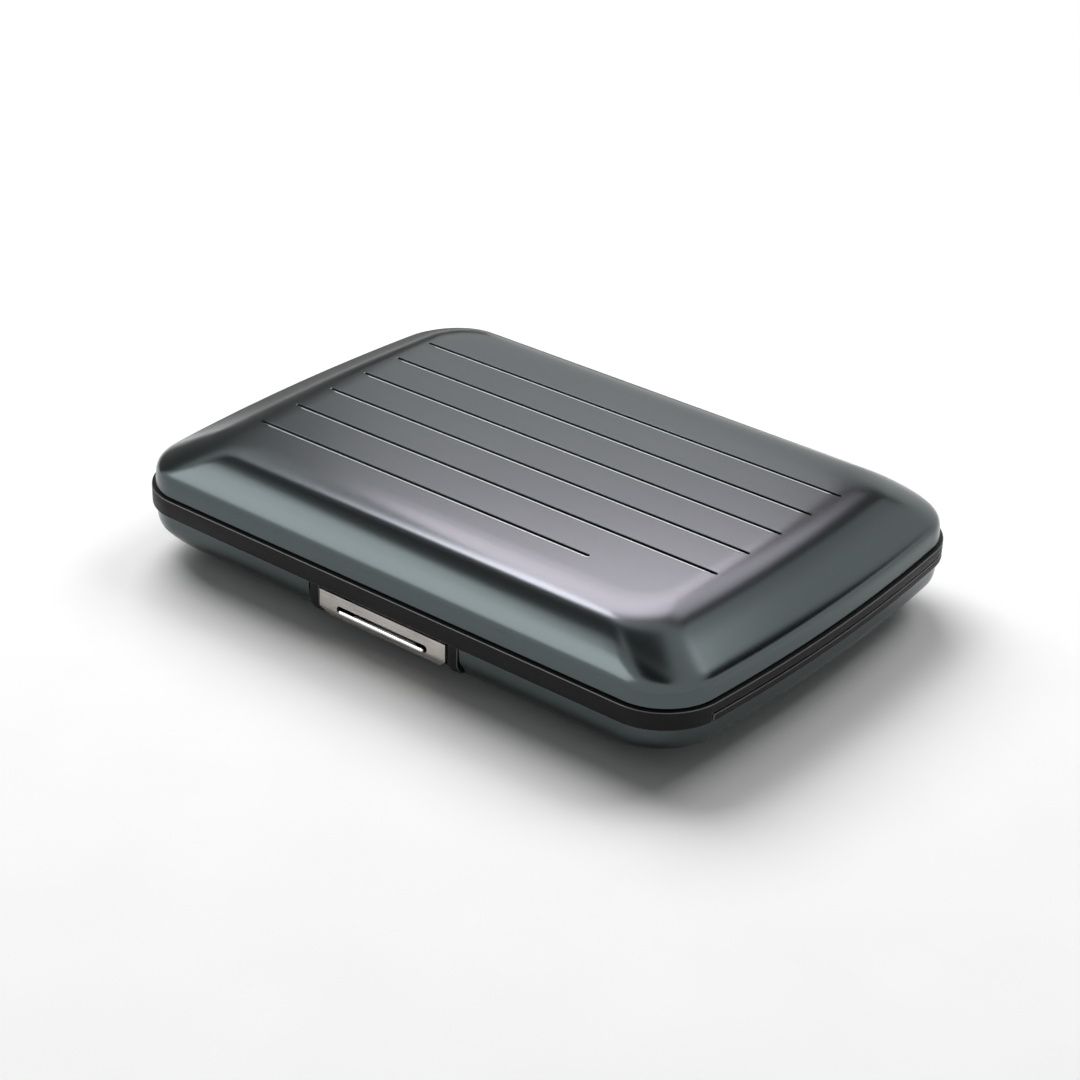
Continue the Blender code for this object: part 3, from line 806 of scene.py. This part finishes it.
bent_run = ((plate_face, plate_top), (plate_face, bend_level),
            (plate_face + bend_depth, plate_foot))
press_plate = traced("press_plate", [(-plate_half, y, z) for y, z in bent_run], filled=False)
pull(x=plate_half * 2)
pick("EDGE", lambda edge: all(abs(corner.co.z - bend_level) < weld for corner in edge.verts))
bpy.ops.mesh.bevel(offset=bend_round, segments=6)
for side in (-1, 1):
    bpy.ops.mesh.select_all(action="SELECT")
    bpy.ops.mesh.bisect(plane_co=(side * (plate_half - plate_corner), 0, plate_foot),
                        plane_no=(side, 0, -1), clear_outer=True)
bpy.ops.mesh.select_all(action="SELECT")
bpy.ops.mesh.remove_doubles(threshold=weld)
turn_to_front(press_plate)
modify(press_plate, "SOLIDIFY", thickness=plate_sheet, offset=-1, use_even_offset=True)
carve(press_plate, stadium("bar_slot", slot_half_length, slot_width, plate_face - bar_proud, slot_z,
                           bar_proud + bend_depth + plate_sheet))
take(press_plate)
bpy.ops.object.shade_smooth_by_angle(angle=math.pi)
round_edges(press_plate, plate_edge, harden_normals=True)
bar = rod("press_bar", bar_width / 2, -bar_half, bar_half,
          plate_face - bar_proud + bar_width / 2, bar_z)
take(bar, "EDIT")
pick("FACE", lambda face: len(face.verts) > 8)
bpy.ops.mesh.bevel(offset=bar_width * 0.4, segments=6)
deselect()
join_marked(press_plate, bar, "UNION")
settle(press_plate, crease)
print("press plate", plate_half * 2, "by", plate_top - plate_foot)
dress(press_plate, "latch", "latch_plate")

# %% [markdown]
# ## Rocker, catch, pins and spring
# These sit behind the plate and show when the lid is open or the latch is pressed. The rocker is a
# moulded bar with a bore for its pin, and a waist that leaves room for the spring.

# %% Model the rocker
small_edge = 0.0001
lever_top = plate_top + gap
lever_foot = lever_top - 0.0035
waist = pivot_z - 0.0012
heel = lever_back - 0.0006
rocker_run = ((lever_front, lever_foot), (lever_front, lever_top), (lever_back, lever_top),
              (lever_back, waist), (heel, waist - (lever_back - heel)), (heel, lever_foot))
rocker_half = plate_half - gap
rocker = along_x("rocker", rocker_run, -rocker_half, rocker_half)
carve(rocker, rod("rocker_bore", pivot_bore, -plate_half, plate_half, pivot_y, pivot_z))
round_edges(rocker, small_edge)
settle(rocker)

# %% [markdown]
# The catch is a steel strip that jogs back over the rocker and ends in a nose, which hooks over
# the keeper's edge.

# %% Model the catch
catch_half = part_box("latch_catch")[1].x
catch_foot = plate_top - 0.0026
jog_foot = plate_top + lever_gap
nose_top = nose_foot + nose
jog_back = catch_back + catch_jog
catch_run = ((catch_front, catch_foot), (catch_front, jog_foot),
             (jog_back - catch_sheet, jog_foot + catch_jog), (jog_back - catch_sheet, nose_top),
             (jog_back, nose_top), (jog_back + nose, nose_foot + nose / 2),
             (jog_back + nose, nose_foot), (jog_back, nose_foot),
             (jog_back, jog_foot + catch_jog - catch_sheet / 2),
             (catch_back, jog_foot - catch_sheet / 2), (catch_back, catch_foot))
spring_catch = along_x("spring_catch", catch_run, -catch_half, catch_half)
round_edges(spring_catch, small_edge / 2, angle=20)
settle(spring_catch)

# %% [markdown]
# Each pin is a steel rod with its ends broken. The spring is a thin strip bowed towards the rocker,
# so it is drawn as a parabola and then given its thickness.

# %% Model the pins and the spring
spring_sheet = 0.0002
spring_steps = 24


def model_pin(name, node):
    """A rod the size of its node."""
    low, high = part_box(node)
    radius = (high.z - low.z) / 2
    piece = rod(name, radius, low.x, high.x, (low.y + high.y) / 2, (low.z + high.z) / 2)
    round_edges(piece, radius / 4, 3)
    return settle(piece)


pivot_pin = model_pin("pivot_pin", "latch_pivot_pin")
left_pin = model_pin("left_pin", "left_hinge_pin")
right_pin = model_pin("right_pin", "right_hinge_pin")
low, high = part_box("latch_spring")
bow = high.y - spring_sheet - low.y
shares = [step / spring_steps * 2 - 1 for step in range(spring_steps + 1)]
points = [(share * high.x, low.y + bow * share ** 2, low.z) for share in shares]
bowed_spring = traced("bowed_spring", points, filled=False)
pull(z=high.z - low.z)
turn_to_front(bowed_spring)
modify(bowed_spring, "SOLIDIFY", thickness=spring_sheet, offset=-1, use_even_offset=True)
settle(bowed_spring)
small_pieces = (
    (rocker, "latch", "latch_lever", "black_plastic"),
    (spring_catch, "latch", "latch_catch", "brushed_steel"),
    (pivot_pin, "base", "latch_pivot_pin", "brushed_steel"),
    (left_pin, "base", "left_hinge_pin", "brushed_steel"),
    (right_pin, "base", "right_hinge_pin", "brushed_steel"),
    (bowed_spring, "base", "latch_spring", "brushed_steel"),
)
for piece, body, node, slot in small_pieces:
    dress(piece, body, node)
    print(piece.name, [round(v * 1000, 2) for corner in list(piece.bound_box)[::6] for v in corner])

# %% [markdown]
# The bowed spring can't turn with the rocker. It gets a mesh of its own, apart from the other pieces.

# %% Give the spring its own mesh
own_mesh(bowed_spring)

# %% [markdown]
# ## The card file
# Six leaves and two end panels hold the cards apart. Each is a thin board with round corners and
# softened edges, and a fine line pressed into both faces just inside its border.

# %% Model the leaves and panels
leaf_radius = 0.0075
leaf_edge = 0.00012
border_inset = 0.0022
border_width = 0.00035
border_depth = 0.00006
leaf_count = 6
sharp_turn = math.radians(60)


def slab(name, node, radius, corner_steps=16):
    """A level block with round corners that fills a node's box; it stays in edit mode."""
    low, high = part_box(node)
    piece = rounded_plane(name, high.x - low.x, high.y - low.y, radius, low.z, corner_steps, 0, 0)
    pull(z=high.z - low.z)
    turn_out()
    return piece


def pick_rims():
    """Selects the level edges where a slab's top or bottom meets its side."""
    pick("EDGE", lambda edge: len(edge.link_faces) == 2 and edge.calc_face_angle() > sharp_turn
         and abs(edge.verts[0].co.z - edge.verts[1].co.z) < weld)


def model_board(name, node):
    """A board the size of its node, with a pressed line round its border."""
    piece = slab(name, node, leaf_radius)
    for side in (1, -1):
        pick("FACE", lambda face: len(face.verts) > 8 and face.normal.z * side > 0.5)
        bpy.ops.mesh.inset(thickness=border_inset)
        bpy.ops.mesh.inset(thickness=border_width / 2, depth=-border_depth)
        bpy.ops.mesh.inset(thickness=border_width / 2, depth=border_depth)
    pick_rims()
    bpy.ops.mesh.bevel(offset=leaf_edge, segments=3)
    deselect()
    return settle(piece)


boards = [(model_board("lower_end_panel", "lower_panel"), "base", "lower_panel"),
          (model_board("upper_end_panel", "upper_panel"), "lid", "upper_panel")]
boards += [(model_board(f"leaf_{n}_board", f"divider_leaf_{n}"), f"leaf_{n}", f"divider_leaf_{n}")
           for n in range(1, leaf_count + 1)]
for piece, body, node in boards:
    dress(piece, body, node)
print("boards:", [piece.name for piece, body, node in boards])

# %% [markdown]
# ## The bellows
# The bellows is one pleated cloth glued round three sides of the leaves. Between each two leaves it
# makes one pleat, folded outwards. Each pleat is modelled as its own U-shaped strip: a band is drawn
# in from its outer fold up to one leaf, mirrored down to the other, and cut open at the front.

# %% The pleats' sizes
pleat_play = 0.00015
pleat_reach = 0.0030
pleat_cloth = 0.00028
fold_round = 0.0003
end_pleat_share = 0.46


def middle_of(node):
    """The height of a node's middle."""
    low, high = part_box(node)
    return (low.z + high.z) / 2

# %% [markdown]
# Each pleat is drawn between the middles of its two leaves, and its place is baked into its mesh.

# %% Model the pleats
def model_pleat(n, low_z, high_z, reach):
    """One pleat between two leaves: a folded strip round the left side, the back and the right."""
    leaf_low, leaf_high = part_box("divider_leaf_1")
    middle = (low_z + high_z) / 2
    rise = (high_z - low_z) / 2
    length = leaf_high.x - leaf_low.x + 2 * reach
    width = leaf_high.y - leaf_low.y + 2 * reach
    piece = rounded_plane(f"bellows_pleat_{n}", length, width, leaf_radius + reach, middle,
                          corner_steps=14, end_cuts=17, side_cuts=27)
    steps = ((fold_round * 0.3, fold_round * 0.6), (fold_round * 0.7, fold_round * 0.4))
    gone_in = sum(step for step, _ in steps)
    gone_up = sum(step for _, step in steps)
    last_in = reach - pleat_play - gone_in
    last_up = rise - gone_up
    for step_in, step_up in (*steps, (last_in * 0.5, last_up * 0.42), (last_in * 0.5, last_up * 0.58)):
        bpy.ops.mesh.inset(thickness=step_in, depth=step_up, use_even_offset=True)
    bpy.ops.mesh.delete(type="FACE")
    bpy.ops.mesh.select_all(action="SELECT")
    bpy.ops.mesh.duplicate()
    bpy.ops.transform.resize(value=(1, 1, -1), center_override=(0, 0, middle))
    bpy.ops.mesh.select_all(action="SELECT")
    bpy.ops.mesh.remove_doubles(threshold=weld)
    bpy.ops.mesh.bisect(plane_co=(0, leaf_low.y + leaf_radius, 0), plane_no=(0, -1, 0),
                        clear_outer=True)
    turn_out()
    modify(piece, "SOLIDIFY", thickness=pleat_cloth, offset=0, use_even_offset=False)
    settle(piece, math.radians(60))
    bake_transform(piece)
    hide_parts("left_bellows", "right_bellows", "back_bellows")
    return piece


levels = [middle_of("lower_panel")]
levels += [middle_of(f"divider_leaf_{n}") for n in range(1, leaf_count + 1)]
levels += [middle_of("upper_panel")]
bellows = []
for n, (low_z, high_z) in enumerate(zip(levels, levels[1:])):
    share = end_pleat_share if n in (0, leaf_count) else 1
    bellows.append(model_pleat(n, low_z, high_z, pleat_reach * share))
print("pleats:", len(bellows), "faces in one:", len(bellows[1].data.polygons))

# %% [markdown]
# ## The foam pads
# A pad of dense foam sticks the file's end panel into each shell. It is a soft block with round
# corners whose edges bulge a little.

# %% Model the pads
pad_radius = 0.0040
pad_round_share = 0.3


def model_pad(name, body, node):
    """A pad the size of its node, with its upper and lower edges rounded."""
    low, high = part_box(node)
    piece = slab(name, node, pad_radius, 8)
    pick_rims()
    bpy.ops.mesh.bevel(offset=(high.z - low.z) * pad_round_share, segments=4)
    deselect()
    settle(piece)
    dress(piece, body, node)
    return piece


pads = [model_pad("lower_foam_pad", "base", "lower_pad"),
        model_pad("upper_foam_pad", "lid", "upper_pad")]
print("pads:", [piece.name for piece in pads])

# %% [markdown]
# ## Anodised aluminium
# The shells are blasted very finely, dyed a dark blue-green grey in the anodising bath and sealed.
# So the metal is dark but still a mirror, blurred by its grain. The finish is a metallic shader
# with three layers of noise: a slow drift of the dye, the blasted grain in colour and roughness,
# and the same grain as a bump of a few thousandths of a millimetre.

# %% Nodes
def new_finish(name):
    """A material with its shader, ready for more nodes."""
    made = bpy.data.materials.new(name)
    made.use_nodes = True
    return made, made.node_tree, made.node_tree.nodes["Principled BSDF"]


def feed(tree, step, inputs):
    """Gives some inputs of a node a value each, or a link from another node."""
    for name, value in inputs.items():
        if isinstance(value, bpy.types.NodeSocket):
            tree.links.new(value, step.inputs[name])
        else:
            step.inputs[name].default_value = value


def add_step(tree, kind, inputs, result=0, **settings):
    """Adds a node, sets it up, feeds it and gives back one of its outputs."""
    step = tree.nodes.new("ShaderNode" + kind)
    for name, value in settings.items():
        setattr(step, name, value)
    feed(tree, step, inputs)
    return step.outputs[result]

# %% [markdown]
# Every pattern reads Object coordinates, in metres, so its size can be said as it is measured. The
# helpers below are the words the recipes are written in.

# %% Patterns and blends
def place_on(tree, stretch=(1, 1, 1), turn=(0, 0, 0)):
    """Object coordinates in metres, stretched for grain that runs one way."""
    place = add_step(tree, "TexCoord", {}, "Object")
    return add_step(tree, "Mapping", {"Vector": place, "Scale": stretch, "Rotation": turn})


def noise(tree, place, size, detail=3.0, rough=0.5):
    """Noise whose blotches are about one size, in metres."""
    return add_step(tree, "TexNoise", {"Vector": place, "Scale": 1 / size, "Detail": detail,
                                       "Roughness": rough}, "Fac")


def spread(tree, value, low, high, near=0.3, far=0.7, **settings):
    """Stretches a value so that near becomes low and far becomes high."""
    return add_step(tree, "MapRange", {"Value": value, "From Min": near, "From Max": far,
                                       "To Min": low, "To Max": high}, "Result", **settings)


def combine(tree, operation, first, second):
    """Two values made one: added, multiplied, or the larger of the two."""
    return add_step(tree, "Math", {0: first, 1: second}, operation=operation)


def blend_colors(tree, value, dark, light):
    """A colour between two, by a value from 0 to 1."""
    return add_step(tree, "Mix", {"Factor": value, "A": (*dark, 1), "B": (*light, 1)}, "Result",
                    data_type="RGBA")


def add_bump(tree, shader, value, height, below=None):
    """Raises the surface by a value; height is in metres."""
    inputs = {"Height": value, "Distance": height, "Strength": 1}
    if below:
        inputs["Normal"] = below
    bump = add_step(tree, "Bump", inputs)
    feed(tree, shader, {"Normal": bump})
    return bump


def shade(color, share):
    """A colour made lighter or darker by a share."""
    return tuple(channel * share for channel in color)


def wear(piece, *finishes):
    """Gives a piece its finish, and a second one where some of its faces are marked."""
    for place, finish in enumerate(finishes):
        if place < len(piece.data.materials):
            piece.data.materials[place] = finish
        else:
            piece.data.materials.append(finish)

# %% [markdown]
# The dye and the grain are the two things to set. The front lips of the grooves get a second finish,
# bright bare metal with faint marks along X. It is a painted highlight: it stands in for the bright
# glint on the side of each groove where the light falls.

# %% Mix the aluminium
dye = (0.080, 0.096, 0.098)
dye_drift = 0.05
drift_size = 0.03
grain_size = 0.00022
grain_height = 0.0000022
satin_low, satin_high = 0.195, 0.235
glint_lip_color = (0.83, 0.84, 0.85)
glint_lip_rough = 0.17
glint_lip_marks = 0.00008
aluminium, tree, shader = new_finish("anodised_aluminium")
place = place_on(tree)
drift = spread(tree, noise(tree, place, drift_size), 0, 0.6)
grain = spread(tree, noise(tree, place, grain_size, detail=2), 0, 0.4)
color = blend_colors(tree, combine(tree, "ADD", drift, grain), shade(dye, 1 - dye_drift),
                     shade(dye, 1 + dye_drift))
rough = spread(tree, grain, satin_low, satin_high, 0, 0.4)
feed(tree, shader, {"Base Color": color, "Roughness": rough, "Metallic": 1})
add_bump(tree, shader, noise(tree, place, grain_size * 1.3, detail=4), grain_height)


def bright_finish(name, color, rough, size):
    """Bright metal with faint tool marks: the polished bar, and the painted highlight on the grooves'
    front lips.
    """
    made, tree, shader = new_finish(name)
    marks = noise(tree, place_on(tree, stretch=(0.05, 1, 1)), size, detail=4)
    tint = blend_colors(tree, spread(tree, marks, 0, 1), shade(color, 0.94), color)
    feed(tree, shader, {"Base Color": tint, "Metallic": 1,
                        "Roughness": spread(tree, marks, rough * 0.8, rough * 1.2)})
    add_bump(tree, shader, marks, size / 100)
    return made


# The grooves' front lips get bright metal, a painted highlight for their glint.
glint_lip_finish = bright_finish("painted_glint_lip_aluminium", glint_lip_color, glint_lip_rough, glint_lip_marks)
for shell, body, node in ((lid_shell, "lid", "upper_shell"), (tray_shell, "base", "lower_shell")):
    wear(shell, aluminium, glint_lip_finish)
    dress(shell, body, node)
print("dye", dye, "grain", grain_size)

# %% [markdown]
# ## Black plastic
# The frames and the rocker are moulded in glass-filled nylon. The tool's surface is spark-eroded, so
# the plastic is dull, with a fine pebbled texture. The frames' edges get a glossier and lighter grey
# version of the same finish: a painted highlight, which gives them a thin line of light.

# %% Black plastic
cloud_size = 0.006
pebble_size = 0.00018


def plastic_finish(name, dark, light, rough, gloss, pebble_height):
    """Black plastic between two greys, with a pebbled surface."""
    made, tree, shader = new_finish(name)
    place = place_on(tree)
    cloud = spread(tree, noise(tree, place, cloud_size), 0, 1)
    pebble = noise(tree, place, pebble_size)
    color = blend_colors(tree, cloud, (dark, dark, dark * 1.04), (light, light, light * 1.04))
    feed(tree, shader, {"Base Color": color, "Specular IOR Level": gloss,
                        "Roughness": spread(tree, pebble, rough * 0.85, rough * 1.15)})
    add_bump(tree, shader, pebble, pebble_height)
    return made


black = plastic_finish("black_plastic", 0.0055, 0.0085, 0.48, 0.16, 0.000006)
# The rounded edges get a lighter grey, glossy plastic: a painted highlight, which draws their thin
# line of light.
edge_highlight_plastic = plastic_finish("painted_highlight_plastic_edge", 0.045, 0.070, 0.24, 1.0, 0.000001)
for band in (lid_band, tray_band):
    wear(band, black, edge_highlight_plastic)
wear(rocker, black)
print("black plastic on", lid_band.name, tray_band.name, rocker.name)

# %% [markdown]
# ## Brushed and drawn steel
# The press plate is brushed lengthwise with a belt: long, thin scratches along X, which stretch
# its highlights across. The catch, the spring and the pins are plain drawn steel, smoother and
# cooler. Both come from one recipe with different grain. The bar on the plate is polished.

# %% Steel finishes
patch_size = 0.004


def steel_finish(name, color, grain_run, grain_across, low_rough, high_rough, scratch, contrast):
    """Steel with grain along X, by how far the grain runs and how far apart it lies."""
    made, tree, shader = new_finish(name)
    place = place_on(tree, stretch=(grain_across / grain_run, 1, 1))
    streak = noise(tree, place, grain_across, detail=5, rough=0.6)
    patch = spread(tree, noise(tree, place_on(tree), patch_size), 0, 1)
    both = combine(tree, "ADD", spread(tree, streak, 0, 0.75), spread(tree, patch, 0, 0.25, 0, 1))
    tint = blend_colors(tree, both, shade(color, 1 - contrast), shade(color, 1 + contrast))
    feed(tree, shader, {"Base Color": tint, "Metallic": 1,
                        "Roughness": spread(tree, streak, low_rough, high_rough)})
    add_bump(tree, shader, streak, scratch)
    return made


brushed = steel_finish("brushed_steel", (0.53, 0.505, 0.47), 0.003, 0.00011, 0.25, 0.42,
                       0.0000030, 0.22)
brushed.node_tree.nodes["Principled BSDF"].inputs["Anisotropic"].default_value = 0.4
drawn = steel_finish("drawn_steel", (0.50, 0.50, 0.51), 0.002, 0.00015, 0.20, 0.32,
                     0.0000010, 0.06)
polished = bright_finish("polished_steel", (0.86, 0.85, 0.83), 0.12, 0.0001)
wear(press_plate, brushed, polished)
for piece, body, node, slot in small_pieces[1:]:
    wear(piece, drawn)
    print(piece.name, "is drawn steel")

# %% [markdown]
# ## The leaves' board
# The leaves are thin boards with a fine fibre grain along X, under a faint cloud.

# %% Board
fibre_size = 0.0004
fibre_height = 0.000012
board_cloud = 0.012
board, tree, shader = new_finish("leaf_board")
fibre = noise(tree, place_on(tree, stretch=(0.25, 1, 1)), fibre_size, detail=5, rough=0.65)
cloud = noise(tree, place_on(tree), board_cloud)
both = combine(tree, "MULTIPLY", spread(tree, fibre, 0.3, 1), spread(tree, cloud, 0.6, 1))
color = blend_colors(tree, both, (0.026, 0.026, 0.028), (0.056, 0.056, 0.058))
feed(tree, shader, {"Base Color": color, "Roughness": spread(tree, fibre, 0.50, 0.68),
                    "Specular IOR Level": 0.35})
add_bump(tree, shader, fibre, fibre_height)

# %% [markdown]
# ## The bellows' cloth
# The bellows is a woven nylon, so its finish crosses two sets of threads. They run at a slant,
# which suits its sides and its back alike, and a little fuzz lies over both.

# %% Cloth
thread = 0.00042
thread_height = 0.00005
fuzz_size = 0.0003
fuzz_height = 0.00001
cloth, tree, shader = new_finish("bellows_fabric")
sets = [add_step(tree, "TexWave", {"Vector": place_on(tree, turn=(0, 0, turn)),
                                   "Scale": 2 / (thread * math.tau), "Distortion": 0.6,
                                   "Detail Scale": 1.5}, "Fac")
        for turn in (math.pi / 4, -math.pi / 4)]
weave = combine(tree, "MULTIPLY", *sets)
fuzz = noise(tree, place_on(tree), fuzz_size, detail=4)
color = blend_colors(tree, spread(tree, weave, 0, 1, 0, 0.8), (0.016, 0.016, 0.018),
                     (0.060, 0.060, 0.063))
feed(tree, shader, {"Base Color": color, "Roughness": spread(tree, fuzz, 0.72, 0.92),
                    "Sheen Weight": 0.15, "Specular IOR Level": 0.25})
add_bump(tree, shader, fuzz, fuzz_height, add_bump(tree, shader, weave, thread_height))

# %% [markdown]
# ## The pads' foam
# The foam is a mass of small cells, so its bump comes from a cell pattern half a millimetre wide.

# %% Foam, and give all three to their pieces
foam_cell = 0.0005
cell_height = 0.00008
foam_cloud = 0.003
foam, tree, shader = new_finish("pad_foam")
place = place_on(tree)
cells = add_step(tree, "TexVoronoi", {"Vector": place, "Scale": 1 / foam_cell}, "Distance")
tint = spread(tree, noise(tree, place, foam_cloud), 0, 1)
color = blend_colors(tree, tint, (0.022, 0.022, 0.024), (0.040, 0.040, 0.043))
feed(tree, shader, {"Base Color": color, "Roughness": spread(tree, cells, 0.80, 0.97, 0, 0.8),
                    "Specular IOR Level": 0.2})
add_bump(tree, shader, cells, cell_height)
for pieces, finish in (([row[0] for row in boards], board), (bellows, cloth), (pads, foam)):
    for piece in pieces:
        wear(piece, finish)
    print(finish.name, "on", len(pieces), "pieces")

# %% [markdown]
# ## The floor
# The table top is pale and matt, and keeps the wallet's shadow. Away from the wallet it pales to
# white, but only for a ray that looks at it: light that falls on it still meets the matt table.

# %% Lay the floor
def seen_straight(tree):
    """1 where the camera, a mirror or a glass looks at a surface, and 0 where light falls on it."""
    path = tree.nodes.new("ShaderNodeLightPath")
    seen = path.outputs["Is Camera Ray"]
    for ray in ("Is Glossy Ray", "Is Transmission Ray"):
        seen = combine(tree, "MAXIMUM", seen, path.outputs[ray])
    return seen


floor_size = 6
floor_level = -0.00005
mottle_size = 0.02
pale_from, pale_to = 0.11, 0.30
deselect()
bpy.ops.mesh.primitive_plane_add(size=floor_size, location=(0, 0, floor_level))
floor = bpy.context.object
floor.name = "floor"
table_top, tree, shader = new_finish("floor_white")
mottle = spread(tree, noise(tree, place_on(tree), mottle_size, detail=4), 0, 1)
color = blend_colors(tree, mottle, (0.905, 0.905, 0.905), (0.925, 0.925, 0.925))
feed(tree, shader, {"Base Color": color, "Roughness": spread(tree, mottle, 0.85, 0.95, 0, 1),
                    "Specular IOR Level": 0})
away = add_step(tree, "VectorMath", {0: place_on(tree)}, "Value", operation="LENGTH")
paling = spread(tree, away, 0, 1, pale_from, pale_to, interpolation_type="SMOOTHSTEP")
share = combine(tree, "MULTIPLY", paling, seen_straight(tree))
white = add_step(tree, "Emission", {})
mix = add_step(tree, "MixShader", {0: share, 1: shader.outputs[0], 2: white})
feed(tree, tree.nodes["Material Output"], {"Surface": mix})
wear(floor, table_top)
print("floor laid")

# %% [markdown]
# ## The studio
# A metal object shows its room more than itself, so the studio is built from what the metal should
# mirror. A lamp's level is how bright its front looks in a mirror. A card is dark and only
# reflections see it, so it gives the metal a dark band without taking light from anything. The
# world is white where a ray escapes, and elsewhere only a plain soft light.

# %% Hang a lamp
def toward(azimuth, height, distance):
    """A place round the wallet, by its angle from +X and its height angle, in degrees."""
    flat = distance * math.cos(math.radians(height))
    return Vector((flat * math.cos(math.radians(azimuth)), flat * math.sin(math.radians(azimuth)),
                   distance * math.sin(math.radians(height))))


def add_lamp(name, azimuth, height, distance, size, level, color=(1, 1, 1), mirrored=True,
             lights_floor=False):
    """A rectangular softbox that faces the wallet; level is how bright its front looks."""
    data = bpy.data.lights.new(name, "AREA")
    data.shape = "RECTANGLE"
    data.size, data.size_y = size
    data.energy = level * math.pi * size[0] * size[1]
    data.color = color
    lamp = bpy.data.objects.new(name, data)
    bpy.context.scene.collection.objects.link(lamp)
    lamp.location = toward(azimuth, height, distance)
    lamp.rotation_euler = lamp.location.to_track_quat("Z", "Y").to_euler()
    lamp.visible_glossy = mirrored
    lamp.visible_diffuse = lights_floor
    print(name, "at", azimuth, height, "level", level)

# %% [markdown]
# A card is a plain plane with a flat dark finish. The camera, the soft light and the shadows pass
# through it, and only mirrors show it.

# %% Stand a card
def add_card(name, azimuth, height, distance, size, tone=0):
    """A dark card that only the metal's reflections see."""
    place = toward(azimuth, height, distance)
    deselect()
    bpy.ops.mesh.primitive_plane_add(size=1, location=place)
    card = bpy.context.object
    card.name = name
    card.scale = (*size, 1)
    card.rotation_euler = place.to_track_quat("Z", "Y").to_euler()
    made, tree, shader = new_finish(name)
    feed(tree, shader, {"Base Color": (tone, tone, tone, 1), "Roughness": 1,
                        "Specular IOR Level": 0})
    wear(card, made)
    card.visible_camera = False
    card.visible_diffuse = False
    card.visible_shadow = False
    return card

# %% [markdown]
# The world mixes two backgrounds by what the ray is for.

# %% Set the world
world = bpy.data.worlds.new("studio")
world.use_nodes = True
bpy.context.scene.world = world
tree = world.node_tree
background = tree.nodes["Background"]
soft_level = 0.16
feed(tree, background, {"Color": (1, 1, 1, 1), "Strength": soft_level})
shown = add_step(tree, "Background", {"Color": (1, 1, 1, 1)})
mix = add_step(tree, "MixShader", {0: seen_straight(tree), 1: background.outputs[0], 2: shown})
feed(tree, tree.nodes["World Output"], {"Surface": mix})

# %% [markdown]
# ## Light the wallet
# A softbox close behind and above is seen in the crown, and its colour is cooled towards violet,
# because the crown looks so. Two small ones beside it carry its light on to the crown's front lip
# and right end. A long one at the front left is seen in the front shoulder. Two larger lamps,
# which no mirror sees, light the floor and cast the soft shadow.

# %% Place the lamps
pale_violet = (1.0, 0.85, 0.94)
add_lamp("back_softbox", 126, 46, 0.36, (0.14, 0.14), 5.4, (1.0, 0.79, 0.90))
add_lamp("lip_strip", 150, 55, 0.5, (0.10, 0.10), 11.5, pale_violet)
add_lamp("end_strip", 103, 45, 0.5, (0.11, 0.11), 3.5, pale_violet)
add_lamp("front_left_softbox", 226, 37.5, 0.60, (0.52, 0.33), 2.4)
add_lamp("right_softbox", 66, 53, 0.60, (0.14, 0.11), 1.8)
add_lamp("key", 152, 46, 1.2, (1.0, 0.8), 6.9, mirrored=False, lights_floor=True)
add_lamp("right_key", 80, 46, 1.2, (0.6, 0.5), 5.0, mirrored=False, lights_floor=True)

# %% [markdown]
# The cards stand where the metal should mirror something dark: beyond the lips of the crown, past
# the ends of the light bands, and low behind the wallet, where one lies flat on the floor.

# %% Stand the cards
add_card("ridge_card", 300, 78, 0.9, (0.42, 0.34))
add_card("band_card", 185, 57, 0.9, (0.42, 0.44), 0.1)
add_card("low_card", 163, 14, 0.95, (0.90, 0.66), 0.2)
add_card("end_card", 103, 42, 0.95, (0.42, 0.50), 0.05)
add_card("crown_card", 125, 80, 0.9, (0.42, 0.30), 0.1)
add_card("rim_card", 134, 2, 0.9, (0.21, 0.30), 0.1)
add_card("far_card", 52, 37, 0.95, (0.42, 0.36))
back_floor_card = add_card("back_floor_card", 135, 1, 0.11, (0.20, 0.12), 0.16)
back_floor_card.rotation_euler = (0, 0, math.radians(135))
print("cards stand round the wallet")
